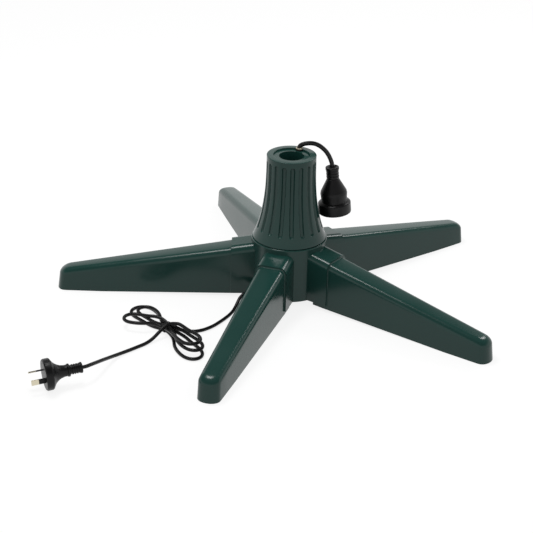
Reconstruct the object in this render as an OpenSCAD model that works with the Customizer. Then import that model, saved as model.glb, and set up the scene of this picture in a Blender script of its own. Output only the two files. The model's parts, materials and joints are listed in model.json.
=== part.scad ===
// Rotating stand for an artificial tree, in millimetres.
// Five hollow legs plug into the stubs of a round hub. A geared motor in the hub turns a
// fluted tower that holds the tree's pole, and a lead with a connector turns with it.
// +Z is up and the floor is Z = 0. The hub's axis stands at X = axis_x, so that the
// middle of the whole footprint is the origin. One leg points along -X.

/* [Legs] */
// Distance from the hub's axis to the tip of a leg
leg_reach = 315; // [285:1:360]
// Width of a leg where its nose begins
leg_tip_w = 29.4; // [27:0.2:34]
// Height of a leg where its nose begins
leg_tip_h = 30.5; // [27:0.5:36]
// Width of a leg at the mouth of its stub
leg_root_w = 40; // [37:0.2:42]
// Height of a leg's top above the floor at the mouth of its stub
leg_root_h = 68.8; // [64:0.2:71]
// Height of a leg's lower edge above the floor at the mouth of its stub
leg_rise = 4; // [2:0.2:6]
// Length of a leg's nose, seen from above
nose_len = 11.7; // [9:0.1:14]
// How far back the rounding of the nose's top edge reaches
nose_round = 13; // [9:0.5:15]
// Radius of the rounding along a leg's top edges
leg_round = 8.6; // [6:0.2:10]
// Lean of a leg's end face
nose_lean = 2.8; // [1:0.1:4]
// Thickness of a leg's walls
leg_wall = 2.6; // [2:0.1:3.2]
// Length of a leg that lies flat on the floor
foot_len = 60; // [40:1:100]
// Length of a leg inside its stub
leg_insert = 21.6; // [18:0.2:22]
// Thickness of the shelf that the leg's screw goes through
shelf_t = 3; // [2.5:0.1:4]
// Height of the shelf's top above the floor
shelf_z = 44; // [38:1:48]

/* [Hub] */
// Diameter of the hub's barrel
hub_d = 102; // [100:0.5:106]
// Height of the barrel's top above the floor
hub_h = 83.5; // [83:0.1:88]
// Height of the barrel's lower edge above the floor
hub_lift = 8; // [7:0.5:9]
// Thickness of the barrel's wall
hub_wall = 2.6; // [2.2:0.1:3]
// Rounding of the barrel's top rim
hub_rim_r = 1.6; // [1:0.1:2]
// Length of a stub outside the barrel
stub_len = 26.6; // [24:0.2:32]
// Thickness of a stub's walls
stub_wall = 1.8; // [1.5:0.1:2]
// How much higher a stub's lower edge is than the barrel's
stub_lift = 1; // [0.5:0.1:3]
// Gap between a leg's sides and the inside of its stub
stub_side_gap = 0.2; // [0.1:0.05:0.4]
// Gap between a leg's top and the inside of its stub
stub_top_gap = 1.2; // [0.8:0.1:2.4]
// Height of the deck's top above the floor
deck_z = 61; // [60:0.5:62]
// Thickness of the deck
deck_t = 3; // [2.6:0.1:3.6]
// Thickness of the base cover
cover_t = 2.5; // [2:0.1:3]

/* [Tower] */
// Height of the tower's top above the floor
stand_h = 200; // [185:1:230]
// Diameter of the tower's foot
tower_base_d = 99.2; // [98:0.2:100]
// Diameter of the tower's top
tower_top_d = 65.6; // [64:0.2:70]
// How quickly the tower's foot flares: 1 is a plain cone
tower_flare = 3; // [2:0.1:4]
// Thickness of the tower's wall
tower_wall = 3; // [2.8:0.1:3.4]
// Running gap between the hub and the tower
tower_gap = 1; // [0.8:0.1:1.5]
// Number of flutes round the tower
flute_count = 18; // [12:1:20]
// Width of a flute
flute_w = 5.5; // [4:0.1:6]
// Depth of a flute
flute_depth = 1.7; // [1:0.1:2]
// Height of the flutes' lower ends above the tower's foot
flute_low = 13; // [10:0.5:20]
// Distance of the flutes' upper ends below the tower's top
flute_high = 7; // [6:0.5:12]
// Thickness of the tower's top wall
tower_top_t = 6.5; // [6:0.1:8]

/* [Pole tube] */
// Inner diameter of the pole tube
pole_d = 33.4; // [30:0.1:33.6]
// Thickness of the pole tube's wall
pole_wall = 1.5; // [1:0.1:1.5]
// Diameter of the pole tube's flange
pole_flange_d = 47.4; // [44:0.2:48]
// Thickness of the pole tube's flange
pole_flange_t = 2; // [1.5:0.1:2.4]
// How far the flange lies below the tower's top
pole_flange_drop = 2; // [1.5:0.1:2.4]
// Thickness of the tube's closed lower end
pole_floor_t = 2.5; // [2:0.1:3]

/* [Bearing] */
// Diameter of the spindle
spindle_d = 15; // [14.5:0.1:15]
// Height of the thrust bearing
bearing_h = 9; // [9:0.1:9.5]
// Outer diameter of the bearing's races
race_d = 28; // [27.6:0.1:28.4]
// Thickness of one race
race_t = 2.8; // [2.6:0.1:3]
// Diameter of a ball
ball_d = 4.76; // [4.5:0.02:4.8]
// Number of balls
ball_count = 10; // [6:1:11]
// Outer diameter of the turntable's bush
bush_d = 20; // [19:0.1:21]

/* [Drive] */
// Module of the gears
gear_module = 1; // [0.98:0.005:1.02]
// Least gap between the ring gear and the barrel's wall
ring_gap = 4.4; // [4.2:0.1:6]
// Teeth of the motor's pinion
pinion_teeth = 18; // [17:1:19]
// Width of the pinion's teeth
gear_face = 8.5; // [6:0.5:9]
// Thinning of each tooth, which gives the gears their backlash
gear_thin = 0.14; // [0.1:0.01:0.2]
// Thickness of the ring gear's rim
ring_rim_t = 2.75; // [2.4:0.05:3]
// Thickness of the turntable
turntable_t = 3; // [2.5:0.1:3.4]
// Diameter of the motor
motor_d = 48; // [46:0.5:50]
// Height of the motor
motor_h = 21; // [18:0.5:21]
// Distance of the motor's shaft from the middle of the motor
motor_offset = 10; // [9:0.5:11]
// Diameter of the motor's shaft
motor_shaft_d = 7; // [5:0.1:7]
// Distance of a motor's ear from the middle of the motor
ear_offset = 28; // [27.5:0.1:29]

/* [Electrics] */
// Diameter of the mains lead
mains_d = 4.6; // [4:0.1:4.6]
// Diameter of the lead that turns with the tower
lead_d = 6; // [5:0.1:6]
// Diameter of the wires inside the hub
wire_d = 1.8; // [1.4:0.1:2]
// Length of the strain relief outside the hub
relief_len = 22; // [20:1:24]
// Diameter of the slip ring disc
slip_disc_d = 62; // [60:0.5:64]
// Thickness of the slip ring disc
slip_disc_t = 2.5; // [2:0.1:3]
// Thickness of a slip ring
slip_ring_t = 1.2; // [1:0.1:1.4]

/* [Plug and connector] */
// Diameter of the plug's disc
plug_disc_d = 39; // [37:0.5:39]
// Thickness of the plug's disc
plug_disc_t = 9.2; // [8:0.2:10]
// Length of the plug behind its disc
plug_neck_len = 37.6; // [36:0.2:40]
// Length of a plug pin outside the plug
pin_len = 17; // [15:0.5:20]
// Width of a plug pin
pin_w = 6.3; // [6:0.1:6.6]
// Thickness of a plug pin
pin_t = 1.6; // [1.4:0.1:2]
// Diameter of the connector's flange
connector_d = 44.2; // [42:0.2:45]
// Length of the connector
connector_len = 65; // [60:0.5:70]

/* [Hidden] */

$fn = 64;
sink = 0.4;              // how far joined shapes reach into each other
cut = 1;                 // how far a cutting shape stands out of what it cuts
fit_gap = 0.05;          // radial clearance of a shaft or a bush in its hole
loose_gap = 0.3;         // clearance between pieces that don't locate each other
leg_count = 5;
leg_step = 360 / leg_count;
function leg_angle(i) = 180 - leg_step * i;

// Colours, as the photograph shows them
green = [0.13, 0.23, 0.21];
black = [0.13, 0.13, 0.13];
natural = [0.85, 0.83, 0.76];
white = [0.93, 0.93, 0.9];
steel = [0.72, 0.73, 0.75];
brass = [0.8, 0.65, 0.3];
copper = [0.75, 0.45, 0.3];

// ---- Legs: places along a leg are measured from the hub's axis ----
hub_r = hub_d / 2;
mouth_r = hub_r + stub_len;
leg_inner_r = mouth_r - leg_insert;
nose_r = leg_reach - nose_len;
foot_r = leg_reach - foot_len;
leg_slope = (leg_root_h - leg_tip_h) / (nose_r - mouth_r);
nose_power = 2.1;        // 2 would be an ellipse, more is squarer
nose_spread = 0.6;       // under 1 puts more stations where the nose bends most
nose_steps = 12;
round_steps = 4;
leg_draft = 0.03;        // share of its half width that a side leans in
function leg_top(x) = leg_root_h - leg_slope * (x - mouth_r);
function leg_half(x) =
    (leg_tip_w + (leg_root_w - leg_tip_w) * (nose_r - max(x, mouth_r)) / (nose_r - mouth_r)) / 2;
function leg_bottom(x) = leg_rise * max(0, foot_r - x) / (foot_r - mouth_r);

// The nose's outline: q runs from 1 on one side of the leg to -1 on the other
function nose_y(q) = sign(q) * pow(abs(q), nose_spread);
function nose_back(q) =
    nose_len * (1 - pow(1 - pow(abs(nose_y(q)), nose_power), 1 / nose_power));
// Stations round the leg, seen from above, as [x, q], where x is 0 on the nose
leg_side = [leg_inner_r, mouth_r, foot_r];
leg_stations = concat(
    [for (x = leg_side) [x, 1]],
    [for (k = [0:nose_steps]) [0, 1 - 2 * k / nose_steps]],
    [for (k = [0:2]) [leg_side[2 - k], -1]]
);
// A point of the leg's skin: v = 0 is the lower edge, higher v climb the rounding,
// and skin is how far the surface lies inside the outer one
function leg_point(station, v, skin) =
    let (r = leg_round - skin)
    let (a = 90 * max(v - 1, 0) / round_steps)
    let (inset = v == 0 ? 0 : r * (1 - cos(a)))
    let (nose_inset = v == 0 ? 0 : (nose_round - skin) * (1 - cos(a)))
    let (lean = v == 0 ? 0 : 1)
    let (on_nose = station[0] == 0)
    let (full = (on_nose ? leg_tip_w / 2 : leg_half(station[0])) - skin)
    let (half = full * (1 - lean * leg_draft) - inset)
    let (back = nose_back(station[1]) * half / full)
    let (x = on_nose ? leg_reach - skin - lean * nose_lean - nose_inset - back : station[0])
    let (y = (on_nose ? nose_y(station[1]) : sign(station[1])) * half)
    let (z = v == 0 ? leg_bottom(x) : leg_top(x) - skin - r + r * sin(a))
    [x, y, z];

// Two triangles of a quad whose corners are given in order
function quad(a, b, c, d) = [[a, c, b], [a, d, c]];
function flat_list(lists) = [for (l = lists) for (e = l) e];

// A hollow leg, open below and at its inner end
module leg_skin() {
    n = len(leg_stations);
    rows = round_steps + 2;
    side = n * rows;
    top = rows - 1;
    half_n = floor((n - 1) / 2);
    points = [for (skin = [0, leg_wall]) for (s = leg_stations) for (v = [0:rows - 1])
        leg_point(s, v, skin)];
    function at(i, v, inner) = inner * side + i * rows + v;
    outer = flat_list([for (i = [0:n - 2]) for (v = [0:rows - 2])
        quad(at(i, v, 0), at(i, v + 1, 0), at(i + 1, v + 1, 0), at(i + 1, v, 0))]);
    inner = flat_list([for (i = [0:n - 2]) for (v = [0:rows - 2])
        quad(at(i, v, 1), at(i + 1, v, 1), at(i + 1, v + 1, 1), at(i, v + 1, 1))]);
    function lid(i, k) = i + 1 >= n - 2 - i
        ? [[at(i, top, k), at(i + 1, top, k), at(n - 1 - i, top, k)]]
        : quad(at(i, top, k), at(n - 1 - i, top, k), at(n - 2 - i, top, k), at(i + 1, top, k));
    outer_lid = flat_list([for (i = [0:half_n - 1]) lid(i, 0)]);
    inner_lid = [for (t = flat_list([for (i = [0:half_n - 1]) lid(i, 1)])) [t[0], t[2], t[1]]];
    rim = flat_list([for (i = [0:n - 2])
        quad(at(i, 0, 0), at(i + 1, 0, 0), at(i + 1, 0, 1), at(i, 0, 1))]);
    end_left = flat_list([for (v = [0:rows - 2])
        quad(at(0, v, 0), at(0, v, 1), at(0, v + 1, 1), at(0, v + 1, 0))]);
    end_right = flat_list([for (v = [0:rows - 2])
        quad(at(n - 1, v, 0), at(n - 1, v + 1, 0), at(n - 1, v + 1, 1), at(n - 1, v, 1))]);
    end_top = quad(at(0, top, 0), at(0, top, 1), at(n - 1, top, 1), at(n - 1, top, 0));
    polyhedron(points, concat(outer, inner, outer_lid, inner_lid, rim, end_left, end_right, end_top));
}

// ---- Hub, deck and stubs ----
hub_inner_r = hub_r - hub_wall;
hub_height = hub_h - hub_lift;
deck_under = deck_z - deck_t;
stub_angle = atan(leg_slope);
stub_inner_half = leg_root_w / 2 + stub_side_gap;
stub_half = stub_inner_half + stub_wall;
stub_inner_round = leg_round;
stub_back = 0.4;         // least distance of a stub's pocket from the barrel
function stub_roof(x) = leg_top(x) + stub_top_gap;    // underside of the stub's top wall
screw_r = 1.5;           // shank of the small screws
screw_head_r = 3;
screw_head_t = 2;
pilot_r = 1.25;
shank_r = pilot_r - fit_gap;
leg_screw_r = 2;
leg_screw_head_r = 3.6;
leg_screw_head_t = 2.4;
leg_screw_len = 14;
leg_screw_at = leg_inner_r + 10;
leg_boss_r = 4.5;
boss_slot = leg_boss_r + 0.5;
post_r = 3.6;
post_at = hub_inner_r - screw_head_r - loose_gap;
post_count = 4;
cover_top = hub_lift + cover_t;
cover_screw_len = 10;

// ---- Bearing and turntable ----
tower_z = hub_h + tower_gap;
turntable_under = tower_z - turntable_t;
bearing_top = deck_z + bearing_h;
ball_z = deck_z + bearing_h / 2;
spindle_r = spindle_d / 2;
race_r = race_d / 2;
race_bore_r = spindle_r + 0.2;
ball_path_r = (race_r + race_bore_r) / 2;
groove_r = ball_d / 2 + 0.07;
cage_t = 1.6;
cage_wall = 2.7;
ball_hole_r = ball_d / 2 + 0.1;
spindle_flange_r = 13;
spindle_flange_t = 3;
turn_gap = 0.3;          // running gap above the turntable
washer_r = 13;
washer_t = 1.5;
hub_bolt_r = 2.5;
hub_bolt_len = 14;
hub_bolt_head_r = 4.5;
hub_bolt_head_t = 2.6;
turntable_r = hub_inner_r - 1.7;
turn_hub_r = race_r;
seat_wall = 2;
tower_boss_r = 3.8;
tower_boss_h = 12;
tower_screw_count = 4;
lug_t = 3;
lug_r = 4.2;

// ---- Gears ----
pressure_angle = 20;
gear_foot = 1.25;        // depth of a tooth below the pitch circle, in modules
// As many teeth as the barrel has room for round the turntable
ring_teeth = floor(2 * ((hub_inner_r - ring_gap - ring_rim_t) / gear_module - gear_foot) + 0.01);
pitch_ring_r = gear_module * ring_teeth / 2;
pitch_pinion_r = gear_module * pinion_teeth / 2;
gear_centres = pitch_ring_r - pitch_pinion_r;
ring_tip_r = pitch_ring_r - 0.8 * gear_module;
ring_root_r = pitch_ring_r + gear_foot * gear_module;
pinion_tip_r = pitch_pinion_r + gear_module;
pinion_root_r = pitch_pinion_r - gear_foot * gear_module;
ring_outer_r = ring_root_r + ring_rim_t;
ring_skirt_r = ring_root_r + 0.5;
tower_screw_at = ring_outer_r - 5.5;
ring_z = deck_z + 4.5;
pinion_z = ring_z + 0.5;
flank_steps = 5;
function involute(a) = tan(a) - a * PI / 180;
// Half the angle of a tooth at radius r; grow widens it by an arc at the pitch circle
function tooth_half(teeth, r, grow) =
    let (pitch_r = gear_module * teeth / 2)
    let (base_r = pitch_r * cos(pressure_angle))
    let (a = r > base_r ? acos(base_r / r) : 0)
    90 / teeth + (grow / pitch_r + involute(pressure_angle) - involute(a)) * 180 / PI;
function polar(r, a) = [r * cos(a), r * sin(a)];
// Outline of a round gear with a tooth on the +X axis
function gear_outline(teeth, root_r, tip_r, grow) = [
    for (k = [0:teeth - 1]) for (side = [-1, 1]) for (j = [0:flank_steps])
        let (u = side < 0 ? j / flank_steps : 1 - j / flank_steps)
        let (r = root_r + (tip_r - root_r) * u)
        polar(r, 360 * k / teeth + side * tooth_half(teeth, r, grow))
];

// ---- Motor ----
gland_angle = -142;
motor_angle = gland_angle + 180;
motor_at = gear_centres - motor_offset;
motor_top = deck_under - spindle_flange_t - 0.5;
motor_r = motor_d / 2;
ear_r = 3.6;
ear_t = 1.2;
shaft_deep = 6;
shaft_hole_r = motor_shaft_d / 2 + 1;

// ---- Tower ----
tower_base_r = tower_base_d / 2;
tower_top_r = tower_top_d / 2;
tower_h = stand_h - tower_z;
tower_steps = 16;
function tower_r(z) =
    tower_top_r + (tower_base_r - tower_top_r) * pow(1 - (z - tower_z) / tower_h, tower_flare);
// Heights close together near the foot, where the wall flares most
function tower_level(k) = tower_z + tower_h * pow(k / tower_steps, 1.3);
tower_levels = [for (k = [0:tower_steps]) tower_level(k)];
recess_r = pole_flange_d / 2 + 0.4;
pole_r = pole_d / 2;
pole_outer_r = pole_r + pole_wall;
pole_hole_r = pole_outer_r + loose_gap;
flange_z = stand_h - pole_flange_drop;
ledge_z = flange_z - pole_flange_t;
tube_low = tower_z + turn_gap + washer_t + hub_bolt_head_t + 1.8;
tube_seat_h = 8;
flute_phase = 13;

// ---- Lead that turns with the tower ----
lead_angle = 64;
lead_at = 23.2;
lead_r = lead_d / 2;
socket_bush_r = lead_r + 1.8;
bush_low = ledge_z - tower_top_t + pole_flange_drop + pole_flange_t - 2;
bush_high = stand_h + 0.4;
connector_at = [54.7, 20.8, 175.6];      // middle of its collar, from the hub's axis
connector_lean = 5.5;

// ---- Mains lead ----
mains_r = mains_d / 2;
relief_r = mains_r + 2.2;
relief_collar_r = relief_r + 1.1;
gland_z = cover_top + relief_collar_r + loose_gap;
relief_end = hub_r + relief_len;
clamp_at = hub_inner_r - 8.4;
block_far = clamp_at - 7;
block_near = block_far - 20;
block_w = 16;
block_h = 11;
brush_at = 24.5;

// The middle of the footprint in X comes from the leg along -X and the pair at +-36 degrees
function nose_reach(a) = max([for (s = leg_stations) let (p = leg_point(s, 0, 0))
    p[0] * cos(a) + abs(p[1]) * sin(a)]);
axis_x = (leg_reach - nose_reach(leg_step / 2)) / 2;

module at_axis() {
    translate([axis_x, 0, 0]) children();
}

module at_leg(i) {
    at_axis() rotate(leg_angle(i)) children();
}

// Children lie along the +X axis and are turned to an angle round the hub's axis
module at_angle(a) {
    at_axis() rotate(a) children();
}

module ring(z, h, outer, inner) {
    translate([0, 0, z]) difference() {
        cylinder(h = h, r = outer);
        translate([0, 0, -cut]) cylinder(h = h + 2 * cut, r = inner);
    }
}

// A screw with its head's underside at the origin and its shank along +Z
module screw_up(shank_r, length, head_r, head_t) {
    difference() {
        union() {
            translate([0, 0, -head_t]) cylinder(h = head_t, r = head_r);
            translate([0, 0, -sink]) cylinder(h = length + sink, r = shank_r);
        }
        translate([0, 0, -head_t - cut]) cylinder(h = cut + head_t / 2, r = head_r / 2, $fn = 6);
    }
}

module screw_down(shank_r, length, head_r, head_t) {
    mirror([0, 0, 1]) screw_up(shank_r, length, head_r, head_t);
}

// ---- Leg and hub pieces ----

module leg(i) {
    color(green) at_leg(i) difference() {
        union() {
            leg_skin();
            leg_shelf();
        }
        translate([leg_screw_at, 0, shelf_z - shelf_t - cut])
            cylinder(h = shelf_t + 2 * cut, r = leg_screw_r + 0.2);
        // Slot in the leg's top that lets the stub's boss in
        translate([leg_inner_r - cut, -boss_slot, shelf_z + cut])
            cube([leg_screw_at - leg_inner_r + cut, 2 * boss_slot, leg_root_h]);
        translate([leg_screw_at, 0, shelf_z + cut]) cylinder(h = leg_root_h, r = boss_slot);
    }
}

module leg_shelf() {
    half = leg_root_w / 2 * (1 - leg_draft) - leg_wall + sink;
    translate([leg_inner_r + 1, -half, shelf_z - shelf_t])
        cube([leg_insert - 2, 2 * half, shelf_t]);
}

module leg_screws() {
    color(steel) for (i = [0:leg_count - 1])
        at_leg(i) translate([leg_screw_at, 0, shelf_z - shelf_t])
            screw_up(leg_screw_r, leg_screw_len, leg_screw_head_r, leg_screw_head_t);
}

// Cross section of a stub with its top at Y = 0
module arch(half, round_r, depth) {
    translate([-half, -depth]) square([2 * half, depth - round_r]);
    translate([round_r - half, -2 * round_r]) square([2 * (half - round_r), 2 * round_r]);
    for (side = [-1, 1]) translate([side * (half - round_r), -round_r]) circle(round_r);
}

// The arch drawn along the stub's slope, from the barrel to the mouth and cut upright there
module stub_run(from_r, to_r, roof, half, round_r, low) {
    intersection() {
        translate([mouth_r, 0, roof]) rotate([0, stub_angle, 0])
            translate([-mouth_r, 0, 0]) rotate([90, 0, 90])
                linear_extrude(2 * mouth_r) arch(half, round_r, leg_root_h * 1.5);
        translate([from_r, -hub_r, low]) cube([to_r - from_r, hub_d, hub_h]);
    }
}

module stub_outside() {
    stub_run(hub_r - 8, mouth_r, stub_roof(mouth_r) + stub_wall, stub_half,
        stub_inner_round + stub_wall, hub_lift + stub_lift);
}

module stub_inside() {
    stub_run(hub_r + stub_back, mouth_r + cut, stub_roof(mouth_r), stub_inner_half,
        stub_inner_round, hub_lift - cut);
}

module stub_boss() {
    difference() {
        translate([leg_screw_at, 0, shelf_z])
            cylinder(h = stub_roof(leg_screw_at) - shelf_z + stub_wall / 2, r = leg_boss_r);
        translate([leg_screw_at, 0, shelf_z - cut])
            cylinder(h = leg_screw_len - shelf_t + 1 + cut, r = leg_screw_r);
    }
}

module hub_housing() {
    color(green) at_axis() difference() {
        union() {
            difference() {
                union() {
                    barrel_outside();
                    for (i = [0:leg_count - 1]) rotate(leg_angle(i)) stub_outside();
                }
                for (i = [0:leg_count - 1]) rotate(leg_angle(i)) stub_inside();
                translate([0, 0, hub_lift - cut])
                    cylinder(h = deck_under - hub_lift + cut, r = hub_inner_r, $fn = 128);
                translate([0, 0, deck_z]) cylinder(h = hub_h, r = hub_inner_r, $fn = 128);
            }
            for (i = [0:leg_count - 1]) rotate(leg_angle(i)) stub_boss();
            for (k = [0:post_count - 1]) rotate(motor_angle + 45 + 90 * k)
                translate([post_at, 0, cover_top]) cylinder(h = deck_under - cover_top + sink, r = post_r);
            rotate(motor_angle) motor_bosses();
        }
        translate([0, 0, deck_under - cut])
            cylinder(h = deck_t + 2 * cut, r = spindle_r + fit_gap);
        rotate(motor_angle) translate([gear_centres, 0, deck_under - cut])
            cylinder(h = deck_t + 2 * cut, r = shaft_hole_r);
        rotate(motor_angle) for (side = [-1, 1])
            translate([motor_at, side * ear_offset, motor_top - cut])
                cylinder(h = deck_under - motor_top + 2 + cut, r = pilot_r);
        for (k = [0:post_count - 1]) rotate(motor_angle + 45 + 90 * k)
            translate([post_at, 0, cover_top - cut]) cylinder(h = cover_screw_len + cut, r = pilot_r);
        rotate(gland_angle) deck_cuts();
        rotate(gland_angle) translate([hub_inner_r - 4, 0, gland_z]) rotate([0, 90, 0])
            cylinder(h = 2 * hub_wall + 8, r = relief_r + fit_gap);
    }
}

module barrel_outside() {
    rotate_extrude($fn = 128) {
        translate([0, hub_lift]) square([hub_r - hub_rim_r, hub_height]);
        translate([0, hub_lift]) square([hub_r, hub_height - hub_rim_r]);
        translate([hub_r - hub_rim_r, hub_h - hub_rim_r]) circle(hub_rim_r);
    }
}

module motor_bosses() {
    for (side = [-1, 1]) translate([motor_at, side * ear_offset, motor_top])
        cylinder(h = deck_under - motor_top + sink, r = ear_r);
}

// Holes in the deck for the brush holder's screws and wires
module deck_cuts() {
    for (side = [-1, 1]) {
        translate([brush_at, side * brush_screw_y, deck_under - cut])
            cylinder(h = deck_t + 2 * cut, r = pilot_r);
        translate([brush_at, side * wire_y, deck_under - cut])
            cylinder(h = deck_t + 2 * cut, r = wire_d / 2 + 0.4);
    }
}

module base_cover() {
    color(green) at_axis() difference() {
        union() {
            translate([0, 0, hub_lift]) cylinder(h = cover_t, r = hub_inner_r - loose_gap, $fn = 128);
            rotate(gland_angle) clamp_saddle();
        }
        for (k = [0:post_count - 1]) rotate(motor_angle + 45 + 90 * k)
            translate([post_at, 0, hub_lift - cut]) {
                cylinder(h = cover_t + 2 * cut, r = screw_r + 0.2);
                cylinder(h = cut + screw_head_t / 2, r = screw_head_r + 0.2);
            }
        rotate(gland_angle) {
            for (side = [-1, 1]) translate([clamp_at, side * clamp_screw_y, cover_top - cut])
                cylinder(h = gland_z, r = pilot_r);
            for (side = [-1, 1]) translate([block_mid, side * block_pin_y, hub_lift - cut])
                cylinder(h = cover_t + 2 * cut, r = screw_r + 0.1);
        }
    }
}

clamp_screw_y = mains_r + 3.2;
clamp_l = 7;
clamp_half = clamp_screw_y + 3;
clamp_t = 2.5;
clamp_gap = 0.1;
block_mid = (block_near + block_far) / 2;
block_pin_y = block_w / 2 - 3;

// The cord's saddle stands on the base cover
module clamp_saddle() {
    difference() {
        translate([clamp_at - clamp_l / 2, -clamp_half, cover_top - sink])
            cube([clamp_l, 2 * clamp_half, gland_z - cover_top - mains_r * 0.3 + sink]);
        translate([clamp_at - clamp_l, 0, gland_z]) rotate([0, 90, 0])
            cylinder(h = 2 * clamp_l, r = mains_r + clamp_gap);
    }
}

module cord_clamp() {
    color(natural) at_angle(gland_angle) difference() {
        translate([clamp_at - clamp_l / 2, -clamp_half, gland_z - mains_r * 0.3])
            cube([clamp_l, 2 * clamp_half, mains_r * 1.3 + clamp_t]);
        translate([clamp_at - clamp_l, 0, gland_z]) rotate([0, 90, 0])
            cylinder(h = 2 * clamp_l, r = mains_r + clamp_gap);
        for (side = [-1, 1]) translate([clamp_at, side * clamp_screw_y, 0])
            cylinder(h = hub_h, r = screw_r + 0.2);
    }
}

module clamp_screws() {
    color(steel) at_angle(gland_angle) for (side = [-1, 1])
        translate([clamp_at, side * clamp_screw_y, gland_z + mains_r + clamp_t])
            screw_down(shank_r, mains_r + clamp_t + 3.5, screw_head_r - 0.4, screw_head_t);
}

module base_screws() {
    color(steel) at_axis() for (k = [0:post_count - 1]) rotate(motor_angle + 45 + 90 * k)
        translate([post_at, 0, hub_lift + screw_head_t / 2])
            screw_up(shank_r, cover_screw_len, screw_head_r, screw_head_t / 2);
}

// ---- Bearing ----

module spindle() {
    top = tower_z + turn_gap;
    color(steel) at_axis() difference() {
        union() {
            translate([0, 0, deck_under - spindle_flange_t])
                cylinder(h = spindle_flange_t, r = spindle_flange_r);
            translate([0, 0, deck_under - sink])
                cylinder(h = top - deck_under + sink, r = spindle_r);
        }
        translate([0, 0, top - hub_bolt_len - 1])
            cylinder(h = hub_bolt_len + 1 + cut, r = hub_bolt_r);
    }
}

module retaining_washer() {
    color(steel) at_axis() ring(tower_z + turn_gap, washer_t, washer_r, hub_bolt_r + 0.2);
}

module retaining_screw() {
    color(steel) at_axis() translate([0, 0, tower_z + turn_gap + washer_t])
        screw_down(hub_bolt_r, hub_bolt_len, hub_bolt_head_r, hub_bolt_head_t);
}

module race(z) {
    color(steel) at_axis() difference() {
        ring(z, race_t, race_r, race_bore_r);
        translate([0, 0, ball_z]) rotate_extrude() translate([ball_path_r, 0]) circle(groove_r);
    }
}

module lower_race() {
    race(deck_z);
}

module upper_race() {
    race(bearing_top - race_t);
}

module at_balls() {
    at_axis() for (k = [0:ball_count - 1]) rotate(360 * k / ball_count)
        translate([ball_path_r, 0, ball_z]) children();
}

module bearing_cage() {
    color(brass) difference() {
        at_axis() ring(ball_z - cage_t / 2, cage_t, ball_path_r + cage_wall, ball_path_r - cage_wall);
        at_balls() translate([0, 0, -cage_t]) cylinder(h = 2 * cage_t, r = ball_hole_r);
    }
}

module bearing_balls() {
    color(steel) at_balls() sphere(d = ball_d);
}

// ---- Motor and gears ----

module gear_motor() {
    color(steel) at_angle(motor_angle) difference() {
        union() {
            translate([motor_at, 0, motor_top - motor_h]) cylinder(h = motor_h, r = motor_r);
            for (side = [-1, 1]) motor_ear(side);
        }
        translate([gear_centres, 0, motor_top - shaft_deep])
            cylinder(h = shaft_deep + cut, r = motor_shaft_d / 2 + fit_gap);
        for (side = [-1, 1]) translate([motor_at, side * ear_offset, motor_top - ear_t - cut])
            cylinder(h = ear_t + 2 * cut, r = screw_r + 0.2);
    }
}

module motor_ear(side) {
    translate([motor_at, 0, motor_top - ear_t]) {
        translate([0, side * ear_offset, 0]) cylinder(h = ear_t, r = ear_r);
        translate([-ear_r, min(0, side * ear_offset), 0]) cube([2 * ear_r, ear_offset, ear_t]);
    }
}

module motor_screws() {
    color(steel) at_angle(motor_angle) for (side = [-1, 1])
        translate([motor_at, side * ear_offset, motor_top - ear_t])
            screw_up(shank_r, ear_t + deck_under - motor_top + 1, screw_head_r, screw_head_t);
}

module motor_shaft() {
    color(steel) at_angle(motor_angle) translate([gear_centres, 0, motor_top - shaft_deep])
        cylinder(h = pinion_z + gear_face - motor_top + shaft_deep, r = motor_shaft_d / 2);
}

module motor_pinion() {
    color(white) at_angle(motor_angle) translate([gear_centres, 0, pinion_z]) difference() {
        linear_extrude(gear_face)
            polygon(gear_outline(pinion_teeth, pinion_root_r, pinion_tip_r, -gear_thin / 2));
        translate([0, 0, -cut]) cylinder(h = gear_face + 2 * cut, r = motor_shaft_d / 2 + fit_gap);
    }
}

module tower_screw_places() {
    for (k = [0:tower_screw_count - 1]) rotate(motor_angle + 360 / tower_screw_count * (k + 0.5))
        translate([tower_screw_at, 0, 0]) children();
}

module ring_gear() {
    teeth_h = gear_face + 1;
    color(white) at_axis() difference() {
        union() {
            difference() {
                translate([0, 0, ring_z])
                    cylinder(h = turntable_under - ring_z, r = ring_outer_r, $fn = 128);
                translate([0, 0, ring_z - cut]) rotate(motor_angle) linear_extrude(teeth_h + cut + sink)
                    polygon(gear_outline(ring_teeth, ring_tip_r, ring_root_r, gear_thin / 2));
                translate([0, 0, ring_z + teeth_h]) cylinder(h = hub_h, r = ring_skirt_r, $fn = 128);
            }
            lugs();
        }
        tower_screw_places() translate([0, 0, ring_z]) cylinder(h = hub_h, r = screw_r + 0.2);
    }
}

// Lugs inside the ring gear's skirt that the long screws clamp
module lugs() {
    translate([0, 0, turntable_under - lug_t]) intersection() {
        tower_screw_places() {
            cylinder(h = lug_t, r = lug_r);
            translate([0, -lug_r, 0]) cube([lug_r + 3, 2 * lug_r, lug_t]);
        }
        cylinder(h = lug_t, r = (ring_skirt_r + ring_outer_r) / 2);
    }
}

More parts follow.
